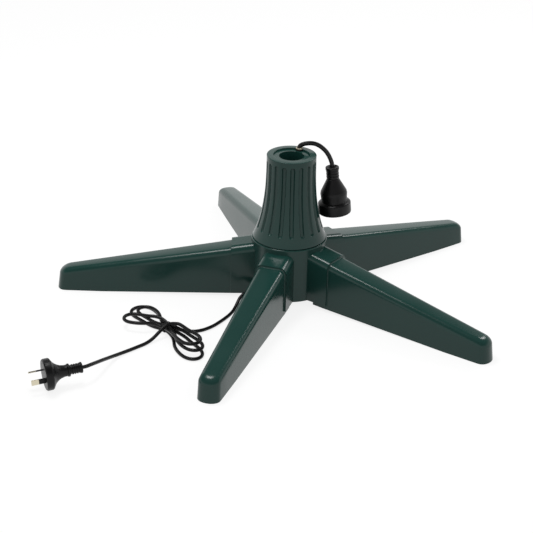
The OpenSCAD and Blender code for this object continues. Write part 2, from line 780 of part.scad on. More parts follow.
module turntable() {
    color(green) at_axis() difference() {
        union() {
            translate([0, 0, turntable_under]) cylinder(h = turntable_t, r = turntable_r, $fn = 128);
            translate([0, 0, bearing_top]) cylinder(h = tower_z - bearing_top, r = turn_hub_r);
            ring(tower_z - sink, tube_low - tower_z + sink, pole_outer_r, washer_r + 1.5);
            ring(tower_z - sink, tube_low - tower_z + tube_seat_h + sink,
                pole_hole_r + seat_wall, pole_hole_r);
            ring(tower_z - sink, tube_low - tower_z + sink, pole_hole_r + sink, pole_outer_r - sink);
        }
        translate([0, 0, bearing_top - cut])
            cylinder(h = tower_z - bearing_top + 2 * cut, r = bush_d / 2 + fit_gap);
        tower_screw_places() translate([0, 0, turntable_under - cut])
            cylinder(h = turntable_t + 2 * cut, r = screw_r + 0.2);
        rotate(lead_angle) translate([lead_at, 0, turntable_under - cut])
            cylinder(h = tube_low + tube_seat_h, r = lead_r + 0.3);
    }
}

module turntable_bush() {
    color(brass) at_axis() ring(bearing_top + 0.3, tower_z - bearing_top - 0.3,
        bush_d / 2, spindle_r + fit_gap);
}

module turntable_screws() {
    color(steel) at_axis() tower_screw_places()
        translate([0, 0, turntable_under - lug_t])
            screw_up(shank_r, lug_t + turntable_t + tower_boss_h - 3, screw_head_r, screw_head_t);
}

// ---- Slip rings and brushes ----
slip_z = turntable_under - slip_disc_t;
slip_inner_r = turn_hub_r + loose_gap;
ring_w = 3.4;
slip_paths = [brush_at - 3.3, brush_at + 3.3];
slip_under = slip_z - slip_ring_t;
brush_block_l = 14;
brush_block_w = 12;
brush_block_h = 9;
brush_flange_t = 2.5;
brush_screw_y = brush_block_w / 2 + 3.6;
wire_y = 2.5;

module slip_disc() {
    color(natural) at_axis() ring(slip_z, slip_disc_t, slip_disc_d / 2, slip_inner_r);
}

module slip_rings() {
    color(brass) at_axis() for (r = slip_paths)
        ring(slip_under, slip_ring_t, r + ring_w / 2, r - ring_w / 2);
}

module brush_holder() {
    color(black) at_angle(gland_angle) difference() {
        union() {
            translate([brush_at - brush_block_l / 2, -brush_block_w / 2, deck_z])
                cube([brush_block_l, brush_block_w, brush_block_h]);
            translate([brush_at - screw_head_r - 1, -brush_screw_y - screw_head_r - 0.5, deck_z])
                cube([2 * screw_head_r + 2, 2 * (brush_screw_y + screw_head_r + 0.5), brush_flange_t]);
        }
        for (side = [-1, 1]) translate([brush_at, side * brush_screw_y, deck_z - cut])
            cylinder(h = brush_flange_t + 2 * cut, r = screw_r + 0.2);
        for (side = [-1, 1]) translate([brush_at, side * wire_y, deck_z - cut])
            cylinder(h = 3 + cut, r = wire_d / 2 + 0.1);
    }
}

module brush_screws() {
    color(steel) at_angle(gland_angle) for (side = [-1, 1])
        translate([brush_at, side * brush_screw_y, deck_z + brush_flange_t])
            screw_down(shank_r, brush_flange_t + deck_t, screw_head_r, screw_head_t);
}

// Two sprung leaves that reach up to the slip rings
module brush_contacts() {
    leaf_t = 0.4;
    leaf_w = 2.6;
    foot_z = deck_z + brush_block_h;
    tip_z = slip_under - 0.15;
    half = brush_block_w / 2 - 0.5;
    color(copper) at_angle(gland_angle) for (r = slip_paths)
        translate([r, 0, 0]) rotate([90, 0, 90]) linear_extrude(leaf_w, center = true) polygon([
            [-half, foot_z], [-half + 4, foot_z], [half - 3, tip_z - leaf_t],
            [half - 2, tip_z - leaf_t], [half, tip_z - 3 * leaf_t], [half, tip_z - 2 * leaf_t],
            [half - 2, tip_z], [half - 3.2, tip_z], [-half + 3.8, foot_z + leaf_t],
            [-half, foot_z + leaf_t]
        ]);
}

// ---- Wiring inside the hub ----

module terminal_block() {
    color(natural) at_angle(gland_angle) difference() {
        union() {
            translate([block_near, -block_w / 2, cover_top])
                cube([block_far - block_near, block_w, block_h]);
            for (side = [-1, 1]) translate([block_mid, side * block_pin_y, hub_lift])
                cylinder(h = cover_t + sink, r = screw_r);
        }
        for (x = terminal_places) for (side = [-1, 1])
            translate([x, side * block_pin_y, cover_top + block_h - 5])
                cylinder(h = 5 + cut, r = 2.3);
    }
}

terminal_places = [block_near + 5, block_far - 5];

module terminal_screws() {
    color(brass) at_angle(gland_angle) for (x = terminal_places) for (side = [-1, 1])
        translate([x, side * block_pin_y, cover_top + block_h - 5]) difference() {
            cylinder(h = 3.4, r = 2.2);
            translate([-3, -0.4, 2.4]) cube([6, 0.8, 2]);
        }
}

// Ribs of a strain relief as points of its profile, tapering from one radius to another
function ribs(count, from_r, to_r, from_s, pitch, deep) = [
    for (k = [0:count - 1])
        let (r = from_r + (to_r - from_r) * k / (count - 1))
        let (s = from_s + pitch * k)
        each [[r, s], [r, s + 0.55 * pitch], [r - deep, s + 0.63 * pitch], [r - deep, s + 0.92 * pitch]]
];
rib_deep = 0.7;

module lead_bush() {
    color(black) at_angle(gland_angle) translate([hub_r, 0, gland_z]) rotate([0, 90, 0])
        rotate_extrude() polygon(concat([
            [mains_r + fit_gap, -hub_wall - 2.5], [relief_collar_r, -hub_wall - 2.5],
            [relief_collar_r, -hub_wall - 0.6], [relief_r, -hub_wall - 0.6],
            [relief_r, 0.4], [relief_collar_r, 0.4], [relief_collar_r, 3]
        ], ribs(5, relief_r, mains_r + 0.95, 4, (relief_len - 5) / 5, rib_deep), [
            [mains_r + 0.8, relief_len - 0.6], [mains_r + 0.8, relief_len],
            [mains_r + fit_gap, relief_len]
        ]));
}

module lead_tail() {
    color(black) at_angle(gland_angle) translate([block_far, 0, gland_z]) rotate([0, 90, 0])
        cylinder(h = relief_end - block_far, r = mains_r);
}

module motor_wires() {
    top_z = motor_top - motor_h + 7;
    case_x = motor_r - motor_at;
    across = terminal_places[0] - case_x;
    color(copper) at_angle(gland_angle) for (side = [-1, 1])
        cord([
            [case_x + 0.2, side * 3, top_z], [case_x + 0.27 * across, side * 3, top_z],
            [case_x + 0.6 * across, side * 3.5, top_z - 1],
            [case_x + 0.8 * across, side * 4.5, top_z - 6],
            [terminal_places[0], side * block_pin_y, cover_top + block_h + 4],
            [terminal_places[0], side * block_pin_y, cover_top + block_h - 1.4]
        ], wire_d, 8, [0, 1, 0]);
}

module brush_wires() {
    color(copper) at_angle(gland_angle) for (side = [-1, 1])
        translate([brush_at, side * wire_y, cover_top + block_h])
            cylinder(h = deck_z + 3 - cover_top - block_h, r = wire_d / 2);
}

// ---- Tower ----

module tower_outline(shift) {
    polygon(concat(
        [[0, tower_z]],
        [for (z = tower_levels) [tower_r(z) - shift, z]],
        [[0, stand_h]]
    ));
}

module tower_shell() {
    color(green) at_axis() difference() {
        union() {
            difference() {
                rotate_extrude($fn = 128) tower_outline(0);
                rotate_extrude($fn = 128) difference() {
                    tower_outline(tower_wall);
                    translate([0, stand_h - tower_top_t]) square([tower_base_r, tower_top_t + cut]);
                }
                translate([0, 0, tower_z - cut]) cylinder(h = cut + sink, r = tower_base_r - tower_wall);
            }
            intersection() {
                tower_screw_places() tower_boss();
                rotate_extrude($fn = 128) tower_outline(tower_wall / 2);
            }
        }
        for (k = [0:flute_count - 1]) rotate(flute_phase + 360 / flute_count * k) flute();
        translate([0, 0, ledge_z]) cylinder(h = tower_top_t, r = recess_r);
        translate([0, 0, stand_h - tower_top_t - cut]) cylinder(h = tower_top_t + cut, r = pole_hole_r);
        rotate(lead_angle) translate([lead_at, 0, stand_h - tower_top_t - cut])
            cylinder(h = tower_top_t + 2 * cut, r = socket_bush_r + 0.1);
        tower_screw_places() translate([0, 0, tower_z - cut])
            cylinder(h = tower_boss_h - 2 + cut, r = pilot_r);
    }
}

module tower_boss() {
    translate([0, 0, tower_z]) cylinder(h = tower_boss_h, r = tower_boss_r);
    translate([0, -1.5, tower_z]) cube([tower_base_r - tower_screw_at, 3, tower_boss_h]);
}

// A groove that follows the tower's flare
module flute() {
    low = tower_z + flute_low;
    high = stand_h - flute_high;
    steps = 6;
    levels = [for (k = [0:steps]) low + (high - low) * k / steps];
    rotate([90, 0, 0]) linear_extrude(flute_w, center = true) polygon(concat(
        [for (z = levels) [tower_r(z) - flute_depth, z]],
        [[tower_base_r + cut, high], [tower_base_r + cut, low]]
    ));
}

module pole_tube() {
    color(green) at_axis() difference() {
        union() {
            translate([0, 0, tube_low]) cylinder(h = ledge_z - tube_low + sink, r = pole_outer_r);
            translate([0, 0, ledge_z]) cylinder(h = pole_flange_t, r = pole_flange_d / 2);
        }
        translate([0, 0, tube_low + pole_floor_t])
            cylinder(h = flange_z - tube_low, r = pole_r);
        rotate(lead_angle) translate([lead_at, 0, ledge_z - cut])
            cylinder(h = pole_flange_t + 2 * cut, r = socket_bush_r + 0.1);
    }
}

module tower_cable() {
    color(black) at_angle(lead_angle) translate([lead_at, 0, turntable_under + 0.1])
        cylinder(h = bush_high - turntable_under - 0.1, r = lead_r);
}

module socket_bush() {
    color(black) at_angle(lead_angle) translate([lead_at, 0, 0])
        ring(bush_low, bush_high - bush_low, socket_bush_r, lead_r + fit_gap);
}

// ---- Cords: points from the floor and the hub's axis, in millimetres ----

// A tube swept along points. aside is a direction that the route never takes
function unit(v) = v / norm(v);
function heading(path, i) =
    unit(path[min(i + 1, len(path) - 1)] - path[max(i - 1, 0)]);
function tube_ring(path, i, d, sides, aside) =
    let (t = heading(path, i))
    let (across = unit(cross(aside, t)))
    let (up = cross(t, across))
    [for (k = [0:sides - 1]) let (a = 360 * (k + 0.5) / sides)
        path[i] + d / 2 * (across * cos(a) + up * sin(a))];

module cord(path, d, sides, aside) {
    n = len(path);
    points = [for (i = [0:n - 1]) for (p = tube_ring(path, i, d, sides, aside)) p];
    walls = [for (i = [0:n - 2]) for (k = [0:sides - 1])
        let (a = i * sides + k)
        let (b = i * sides + (k + 1) % sides)
        for (f = [[a, b + sides, b], [a, a + sides, b + sides]]) f];
    polyhedron(points, concat(walls,
        [[for (k = [0:sides - 1]) k]],
        [[for (k = [0:sides - 1]) n * sides - 1 - k]]));
}

// The lead at the tower's top: straight up out of its bush, over, and down to the connector
socket_route = [
    [10.2, 20.8, 200.4], [10.2, 20.8, 202.6], [12.1, 20.8, 205.2], [15.7, 20.8, 207],
    [20.2, 20.8, 208], [26, 20.8, 208.3], [31.5, 20.8, 207.4], [36.5, 20.8, 205.2],
    [41.3, 20.8, 201.6], [45.9, 20.8, 197], [49.6, 20.8, 191.4], [52.2, 20.8, 186],
    [53.7, 20.8, 181.9]
];
socket_dir = [sin(connector_lean), 0, -cos(connector_lean)];

module socket_lead() {
    color(black) at_axis() cord(concat(socket_route,
        [connector_at - 3.5 * socket_dir, connector_at]), lead_d, 10, [0, 1, 0]);
}

module socket_tie() {
    color(natural) at_angle(lead_angle) translate([lead_at, 0, 0]) union() {
        ring(bush_high, 1.6, lead_r + 1.3, lead_r + 0.25);
        translate([lead_r + 0.8, -1.6, bush_high]) cube([3, 3.2, 2.4]);
    }
}

// The connector: along its axis, which leans out from the tower and points down
module along_connector() {
    at_axis() translate(connector_at) rotate([0, 180 - connector_lean, 0]) children();
}

connector_r = connector_d / 2;
connector_wall = 3;
collar_r = 9.1;
collar_len = 3.5;
neck_r = 8.5;
neck_len = 17.4;
shoulder_s = connector_len - 27.6;
waist_s = connector_len - 15.5;
socket_depth = 9;

module connector_body() {
    color(black) along_connector() difference() {
        rotate_extrude() polygon(concat([[0, 0], [collar_r, 0], [collar_r, collar_len]],
        ribs(3, neck_r, neck_r, collar_len + 1, (neck_len - collar_len - 2) / 3, rib_deep), [
            [neck_r, neck_len], [neck_r + 2.5, neck_len + 3], [neck_r + 6, neck_len + 8],
            [neck_r + 8.5, shoulder_s - 5], [neck_r + 9.6, shoulder_s],
            [neck_r + 9.1, shoulder_s + 6], [neck_r + 8.7, waist_s - 1], [connector_r - 2.6, waist_s],
            [connector_r, waist_s + 1.5], [connector_r, connector_len], [0, connector_len]
        ]));
        translate([0, 0, connector_len - socket_depth])
            cylinder(h = socket_depth + cut, r = connector_r - connector_wall);
        for (side = [-1, 1]) contact_place(side) translate([-4, -1.5, -12]) cube([8, 3, 12 + cut]);
    }
}

// The two contacts stand in a V, seen from the connector's face
module contact_place(side) {
    translate([0, side * 7, connector_len - socket_depth]) rotate(side * 30) children();
}

module connector_contacts() {
    color(brass) along_connector() for (side = [-1, 1]) contact_place(side)
        for (leaf = [-1, 1]) translate([-3.5, leaf * 1.05 - 0.35, -11.9]) cube([7, 0.7, 10]);
}

// The mains lead from its strain relief to the hank, on the floor but for its first part
relief_tip = concat(polar(relief_end, gland_angle), [gland_z]);
mains_route = [
    [-61.2, -48.1, 15.4], [-64.6, -52.4, 12.8], [-67.4, -58.2, 9], [-70.2, -65.4, 5.6],
    [-73.6, -73.4, 3.4], [-79, -84, 2.5], [-87, -97.5, 2.5], [-97, -111.8, 2.5],
    [-108, -122.2, 2.5], [-116.6, -126.8, 2.5], [-121.4, -127.9, 2.5], [-125.9, -127.9, 2.5]
];

module mains_lead() {
    color(black) at_axis()
        cord(concat([relief_tip, relief_tip + concat(polar(3, gland_angle), [0])], mains_route),
            mains_d, 8, [0, 0, 1]);
}

// The hank: three long turns, drawn in at the waist, each with a loop on either side.
// The strands lie at the waist like pipes, in lanes across it and on levels above it.
waist = [-155.9, -123.3];
waist_heading = 140;
waist_lift = 1.4;        // the tie passes under the strands
waist_reach = 14;
strand_step = 5.43;
strand_lanes = [[1, 0], [-1, 0], [0, 0], [-0.5, 0.87], [0.5, 0.87], [-1.5, 0.87], [0, 1.73]];
// Each loop's heading, length, half width and level, and the share of it that climbs each way
hank_loops = [
    [128.8, 73.4, 23.3, 0, 0.32, 0.31], [-60.2, 86.1, 21.2, 0, 0.31, 0.32],
    [127.8, 62, 17.2, 0.91, 0.22, 0.29], [-54.5, 75.9, 19, 1, 0.31, 0.33],
    [168.3, 58, 18.1, 1.84, 0.21, 0.26], [-54.2, 69, 20, 2.09, 0.31, 0.3]
];
loop_steps = 24;
// The steps next to the waist are left out, where they would lie too close together
loop_marks = concat([0], [for (i = [2:loop_steps - 2]) i], [loop_steps]);
climb_from = 0.06;
function ease(t) = let (c = max(0, min(1, t))) c * c * (3 - 2 * c);
// A point of loop k, where u runs from 0 to 1 round it and back to the waist
function loop_point(k, u) =
    let (l = hank_loops[k])
    let (side = k % 2 == 0 ? 1 : -1)
    let (from = strand_lanes[k])
    let (to = strand_lanes[k + 1])
    let (base = side > 0 ? waist_heading : waist_heading - 180)
    let (x = l[1] * (1 - cos(360 * u)) / 2)
    let (lane = (u < 0.5 ? from[0] : to[0]) * strand_step * (1 - ease(x / (0.75 * l[1]))))
    let (y = side * l[2] * sin(360 * u) * pow(sin(180 * u), 2) + lane)
    let (out = ease((u - climb_from) / (l[4] - climb_from)))
    let (back = ease((u - 1 + l[5]) / (l[5] - climb_from)))
    let (level = u < 0.5 ? from[1] + (l[3] - from[1]) * out : l[3] + (to[1] - l[3]) * back)
    let (a = base + (l[0] - base) * ease(x / (0.6 * l[1])))
    let (lift = waist_lift * exp(-pow(x / waist_reach, 2)))
    [
        waist[0] + x * cos(a) + side * y * sin(a),
        waist[1] + x * sin(a) - side * y * cos(a),
        mains_r + lift + level * strand_step
    ];
hank_head = [
    [-125.9, -127.9, 2.5], [-129.9, -127.9, 2.5], [-133.5, -127.2, 2.6], [-138.6, -125.6, 2.9],
    [-145.6, -122.9, 3.4]
];
// The last loop is left early: its strand crosses over the waist and comes down
hank_tail = [
    [-139, -131.9, 14.2], [-145, -130.5, 14.6], [-151.2, -131.7, 14.8], [-156.3, -135.3, 14.2],
    [-160.8, -140.1, 12.2], [-165.3, -145.1, 9], [-170, -150.4, 5.8], [-174.9, -156.1, 3.4],
    [-179.6, -161.6, 2.5], [-183.6, -166.2, 2.5]
];
tail_from = 18;          // step of the last loop at which its strand leaves for the tail
hank_path = concat(
    hank_head,
    [for (k = [0:5]) for (i = loop_marks) if ((k == 0 || i > 0) && (k < 5 || i <= tail_from))
        loop_point(k, i / loop_steps)],
    hank_tail
);

// Least gap between strands: points more than a few diameters apart along the cord
function finer(path, n) = [for (i = [0:len(path) - 2]) for (k = [0:n - 1])
    path[i] + (path[i + 1] - path[i]) * k / n];
function run_length(path, i = 0, total = 0) =
    i >= len(path) - 1 ? total : run_length(path, i + 1, total + norm(path[i + 1] - path[i]));
function lengths(path) = [for (i = 0, s = 0; i < len(path);
    s = s + (i + 1 < len(path) ? norm(path[i + 1] - path[i]) : 0), i = i + 1) s];
function least_gap(path, d, apart) =
    let (s = lengths(path))
    min([for (i = [0:len(path) - 1]) for (j = [i + 1:1:len(path) - 1])
        if (s[j] - s[i] > apart) norm(path[j] - path[i])]) - d;

module mains_hank() {
    echo(hank_gap = least_gap(finer(hank_path, 4), mains_d, 2.8 * mains_d),
        hank_length = run_length(hank_path));
    color(black) at_axis() cord(hank_path, mains_d, 6, [0, 0, 1]);
}

// The tie lies round the six strands of the waist
tie_w = 4.5;
tie_t = 0.8;
tie_gap = 0.35;
module waist_outline(grow) {
    hull() for (k = [0, 1, 4, 5])
        translate([strand_lanes[k][0] * strand_step,
            mains_r + waist_lift + strand_lanes[k][1] * strand_step])
            circle(mains_r + tie_gap + grow, $fn = 24);
}

module hank_tie() {
    color(black) at_axis() translate([waist[0], waist[1], 0])
        rotate([90, 0, waist_heading - 90]) translate([0, 0, -tie_w / 2])
            linear_extrude(tie_w) difference() {
                waist_outline(tie_t);
                waist_outline(0);
            }
}

// ---- Plug ----
plug_at = [-283, -272.4, 19.86];         // middle of its disc's back, from the hub's axis
plug_heading = -158.3;
plug_tilt = -2.6;
plug_end_r = 6.8;
plug_rib_r = 6.3;
plug_ring_r = 8;
plug_neck_r = 7.1;
plug_ring_s = 17 - plug_neck_len;        // middle of the ring in front of the strain relief
pin_apart = 7.9;
pin_spread = 30;
pin_roll = -24.5;
sleeve_len = 8;
sleeve_t = 0.35;
pin_deep = 4;

module along_plug() {
    at_axis() translate(plug_at) rotate([0, 90 - plug_tilt, plug_heading]) children();
}

module plug_body() {
    r = plug_disc_d / 2;
    color(black) along_plug() difference() {
        rotate_extrude() polygon(concat([
            [0, -plug_neck_len], [plug_end_r - 0.5, -plug_neck_len],
            [plug_end_r, -plug_neck_len + 0.5], [plug_end_r, -plug_neck_len + 2.2]
        ], ribs(4, plug_rib_r, plug_rib_r, -plug_neck_len + 2.8, 2.9, rib_deep), [
            [plug_rib_r, plug_ring_s - 1.6], [plug_ring_r, plug_ring_s - 1.1],
            [plug_ring_r, plug_ring_s + 1.1], [plug_neck_r, plug_ring_s + 1.9],
            [plug_neck_r, -15.5], [plug_neck_r + 0.9, -11.3], [plug_neck_r + 2, -8.6],
            [plug_neck_r + 3.7, -6], [plug_neck_r + 6, -3.4], [plug_neck_r + 9, -1.3],
            [r - 1, 0], [r, 1.2], [r, plug_disc_t - 1.5], [r - 1.2, plug_disc_t], [0, plug_disc_t]
        ]));
        pin_places() translate([-pin_w / 2 - 0.05, -pin_t / 2 - 0.05, plug_disc_t - pin_deep])
            cube([pin_w + 0.1, pin_t + 0.1, pin_deep + cut]);
    }
}

// The two pins stand in a V on the plug's face
module pin_places() {
    rotate(pin_roll) for (side = [-1, 1])
        translate([0, side * pin_apart, 0]) rotate(side * pin_spread) children();
}

module pin_core(wide, thick, from_s, to_s) {
    translate([-wide / 2, -thick / 2, from_s]) cube([wide, thick, to_s - from_s]);
}

module plug_pins() {
    sleeve_end = plug_disc_t + sleeve_len;
    color(brass) along_plug() pin_places() {
        pin_core(pin_w - 2 * sleeve_t, pin_t - 2 * sleeve_t, plug_disc_t - pin_deep + 0.1, sleeve_end);
        pin_core(pin_w, pin_t, sleeve_end, plug_disc_t + pin_len);
    }
}

module pin_sleeves() {
    color(black) along_plug() pin_places() difference() {
        pin_core(pin_w, pin_t, plug_disc_t - pin_deep + 0.1, plug_disc_t + sleeve_len);
        pin_core(pin_w - 2 * sleeve_t, pin_t - 2 * sleeve_t, 0, plug_disc_t + sleeve_len + cut);
    }
}

// From the hank's tail to the plug
plug_dir = [cos(plug_tilt) * cos(plug_heading), cos(plug_tilt) * sin(plug_heading), sin(plug_tilt)];
plug_end = plug_at - plug_neck_len * plug_dir;
end_route = [
    [-183.6, -166.2, 2.5], [-187.9, -170.2, 2.5], [-195.8, -177.6, 2.5], [-202.9, -184, 2.5],
    [-209.5, -190.8, 3.1], [-215.1, -199.3, 5], [-220.1, -209.4, 8.1], [-224.6, -220.4, 11.8],
    [-228.9, -231.5, 15.6], [-233.1, -241.6, 18.8], [-237.5, -249.8, 21]
];

module mains_lead_end() {
    color(black) at_axis() cord(concat(end_route, [plug_end - 5 * plug_dir, plug_end]),
        mains_d, 8, [0, 0, 1]);
}

hub_housing();
leg(0);  // leg_1
leg(1);  // leg_2
leg(2);  // leg_3
leg(3);  // leg_4
leg(4);  // leg_5
leg_screws();
base_cover();
base_screws();
spindle();
retaining_washer();
retaining_screw();
lower_race();
bearing_cage();
bearing_balls();
upper_race();
gear_motor();
motor_screws();
motor_shaft();
motor_pinion();
turntable();
turntable_bush();
ring_gear();
turntable_screws();
slip_disc();
slip_rings();
brush_holder();
brush_contacts();
brush_screws();
terminal_block();
terminal_screws();
cord_clamp();
clamp_screws();
lead_bush();
lead_tail();
motor_wires();
brush_wires();
tower_shell();
pole_tube();
tower_cable();
socket_bush();
socket_tie();
socket_lead();
connector_body();
connector_contacts();
mains_lead();
mains_hank();
hank_tie();
mains_lead_end();
plug_body();
plug_pins();
pin_sleeves();
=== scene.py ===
# %% [markdown]
# # A rotating stand for an artificial tree
#
# Five hollow green legs plug into a round hub. A fluted tower stands on the hub and is turned
# by a small geared motor inside. A short black lead with a socket turns with the tower, and a
# longer one lies on the floor in a tied hank and ends in its plug.
#
# The measured solids are loaded first. They stay the truth for sizes, places and movement.
# Everything made here either puts a finish on one of them, or stands in its place with a
# finer surface.

# %% Load the measured model
import bpy
import bmesh
import json
import math
from mathutils import Matrix, Vector


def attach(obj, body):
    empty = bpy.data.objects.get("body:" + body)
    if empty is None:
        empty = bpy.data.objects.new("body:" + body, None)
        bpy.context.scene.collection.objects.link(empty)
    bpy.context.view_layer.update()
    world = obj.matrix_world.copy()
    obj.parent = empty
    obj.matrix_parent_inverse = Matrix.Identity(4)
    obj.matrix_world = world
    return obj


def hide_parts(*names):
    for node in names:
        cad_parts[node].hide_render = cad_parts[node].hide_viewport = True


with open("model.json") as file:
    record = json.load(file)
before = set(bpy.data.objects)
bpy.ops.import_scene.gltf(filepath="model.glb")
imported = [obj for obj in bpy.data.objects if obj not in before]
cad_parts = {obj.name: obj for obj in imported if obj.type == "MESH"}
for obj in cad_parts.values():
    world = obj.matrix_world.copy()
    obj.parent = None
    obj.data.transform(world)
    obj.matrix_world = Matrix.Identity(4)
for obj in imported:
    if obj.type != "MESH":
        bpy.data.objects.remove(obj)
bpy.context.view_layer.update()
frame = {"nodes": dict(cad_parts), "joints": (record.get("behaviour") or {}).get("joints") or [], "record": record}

nodes = frame["nodes"]

# %% [markdown]
# The source of the solids is written in millimetres from the hub's own axis. The whole
# model's origin is the middle of its footprint, so the axis stands a little to one side.
# The joint that turns the tower tells how far. Two small helpers carry a point over.

# %% From the hub's axis in millimetres to the scene in metres
MM = 0.001
axis_x = next(j["pos_m"][0] for j in frame["joints"] if j["name"] == "tower_spin")


def place(point):
    return Vector((point[0] * MM + axis_x, point[1] * MM, point[2] * MM))


def polar(radius, degrees, height=0.0):
    a = math.radians(degrees)
    return [radius * math.cos(a), radius * math.sin(a), height]


print("hub axis at x = %.2f mm" % (axis_x / MM))

# %% [markdown]
# ## Camera
#
# The view was worked out from the tips of the legs and the rims of the tower. It is a long
# lens, as for a catalogue picture: the stand is about 1.9 m away and seen from 26 degrees
# above. A camera looks along its own -Z, with +Y up in the picture, so its rotation is
# the three directions right, up and back, written as columns.

# %% The camera
camera_data = bpy.data.cameras.new("Camera")
camera = bpy.data.objects.new("Camera", camera_data)
bpy.context.scene.collection.objects.link(camera)
bpy.context.scene.camera = camera
camera_data.sensor_width = 36
camera_data.lens = 94.51

look = Vector((-0.002298, 0.898469, -0.439031))
right = Vector((0.999732, 0.012169, 0.019669))
up = Vector((-0.023015, 0.438868, 0.898257))
turn = Matrix((right, up, -look)).transposed().to_4x4()
camera.matrix_world = Matrix.Translation(place((-25.43, -1714.1, 873.17))) @ turn
print("camera at", [round(v, 3) for v in camera.location])

# %% [markdown]
# ## The cords
#
# A cord is a line with a thickness. A curve object is exactly that: points, joined by a
# spline, with a round bevel. The routes were chosen point by point on the floor. Between the
# points a cubic curve is worked out here that passes through every one of them, which a smooth
# spline drawn beside its control points doesn't, so strands that lie side by side stay side by
# side. The bevel is one metre and each point's radius is the cord's own, because a curve's
# box is reckoned from its points' radii.

# %% A smooth line through chosen points, and a cord along it


def through(points, steps):
    line = []
    last = len(points) - 1
    for i in range(last):
        a, b = Vector(points[max(i - 1, 0)]), Vector(points[i])
        c, d = Vector(points[i + 1]), Vector(points[min(i + 2, last)])
        for k in range(steps):
            t = k / steps
            line.append(0.5 * (2 * b + (c - a) * t + (2 * a - 5 * b + 4 * c - d) * t * t
                               + (3 * b - a - 3 * c + d) * t ** 3))
    line.append(Vector(points[last]))
    return line


def run_length(line):
    return sum((q - p).length for p, q in zip(line, line[1:]))


def cord_piece(name, line, diameter):
    data = bpy.data.curves.new(name, "CURVE")
    data.dimensions = "3D"
    data.bevel_depth = 1
    data.bevel_resolution = 5
    data.use_fill_caps = True
    spline = data.splines.new("POLY")
    spline.points.add(len(line) - 1)
    for point, p in zip(spline.points, line):
        point.co = (*place(p), 1)
        point.radius = diameter / 2 * MM
    piece = bpy.data.objects.new(name, data)
    bpy.context.scene.collection.objects.link(piece)
    print(name, "is %.0f mm long, %d points" % (run_length(line), len(line)))
    return piece


# %% [markdown]
# ### The lead at the top
#
# A 6 mm lead leaves the top of the tower beside the pole socket, bends over in an arch that
# its own stiffness holds up, and goes down into the socket that hangs from it. The socket hangs
# a little aslant, and the last millimetres of the lead lie in line with its neck.

# %% The lead that turns with the tower
TOP_LEAD_D = 6
connector_at, connector_lean = (54.7, 20.8, 175.6), 5.5
in_the_neck = 3.5
down = (math.sin(math.radians(connector_lean)), 0, -math.cos(math.radians(connector_lean)))
socket_route = [
    [10.2, 20.8, 200.4], [10.2, 20.8, 202.6], [12.1, 20.8, 205.2], [15.7, 20.8, 207],
    [20.2, 20.8, 208], [26, 20.8, 208.3], [31.5, 20.8, 207.4], [36.5, 20.8, 205.2],
    [41.3, 20.8, 201.6], [45.9, 20.8, 197], [49.6, 20.8, 191.4], [52.2, 20.8, 186],
    [53.7, 20.8, 181.9], [c - in_the_neck * d for c, d in zip(connector_at, down)], connector_at]
socket_line = through(socket_route, 6)
socket_lead = cord_piece("socket_cable", socket_line, TOP_LEAD_D)
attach(socket_lead, "rotor")
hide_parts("socket_lead")

# %% [markdown]
# ### The hank on the floor
#
# The longer lead is 4.6 mm thick, and most of it is put up in a hank of six long loops. It could
# be a physics simulation, but then the strands would lie somewhere else at each change. Here
# they lie like stacked pipes where the tie holds them: in lanes across it, on levels above it,
# both counted in strand steps. Each loop has its own heading, length and half width. It fans out
# to its own side and eases from one lane and level to the next.

# %% The hank's loops
MAINS_D = 4.6
waist = (-155.9, -123.3)
waist_heading = 140
waist_lift, waist_reach = 1.4, 14    # the strands stand this much higher, this near the tie
strand_step = 5.43
strand_lanes = [(1, 0), (-1, 0), (0, 0), (-0.5, 0.87), (0.5, 0.87), (-1.5, 0.87), (0, 1.73)]
# heading, length, half width, level of the far end, share of the way out and back for the climb
hank_loops = [
    (128.8, 73.4, 23.3, 0, 0.32, 0.31), (-60.2, 86.1, 21.2, 0, 0.31, 0.32),
    (127.8, 62, 17.2, 0.91, 0.22, 0.29), (-54.5, 75.9, 19, 1, 0.31, 0.33),
    (168.3, 58, 18.1, 1.84, 0.21, 0.26), (-54.2, 69, 20, 2.09, 0.31, 0.3)]
climb_from = 0.06                    # the climb starts at this share of a loop
lane_until, fan_until = 0.75, 0.6    # shares of a loop's length


def ease(t):
    c = max(0.0, min(1.0, t))
    return c * c * (3 - 2 * c)


def loop_point(k, u):
    heading, length, half_width, level_out, share_out, share_back = hank_loops[k]
    side = 1 if k % 2 == 0 else -1
    first, last = strand_lanes[k], strand_lanes[k + 1]
    base = waist_heading if side > 0 else waist_heading - 180
    x = length * (1 - math.cos(math.tau * u)) / 2
    lane = (first[0] if u < 0.5 else last[0]) * strand_step * (1 - ease(x / (lane_until * length)))
    y = side * half_width * math.sin(math.tau * u) * math.sin(math.pi * u) ** 2 + lane
    out = ease((u - climb_from) / (share_out - climb_from))
    back = ease((u - 1 + share_back) / (share_back - climb_from))
    level = (first[1] + (level_out - first[1]) * out if u < 0.5
             else level_out + (last[1] - level_out) * back)
    a = math.radians(base + (heading - base) * ease(x / (fan_until * length)))
    lift = waist_lift * math.exp(-(x / waist_reach) ** 2)
    return [waist[0] + x * math.cos(a) + side * y * math.sin(a),
            waist[1] + x * math.sin(a) - side * y * math.cos(a),
            MAINS_D / 2 + lift + level * strand_step]


LOOP_STEPS, LAST_STEP = 24, 18       # the last loop is left where the tail goes on
marks = [0] + list(range(2, LOOP_STEPS - 1)) + [LOOP_STEPS]
turns = [loop_point(k, i / LOOP_STEPS) for k in range(6) for i in marks
         if (k == 0 or i > 0) and (k < 5 or i <= LAST_STEP)]
print("hank:", len(hank_loops), "loops,", len(turns), "points")

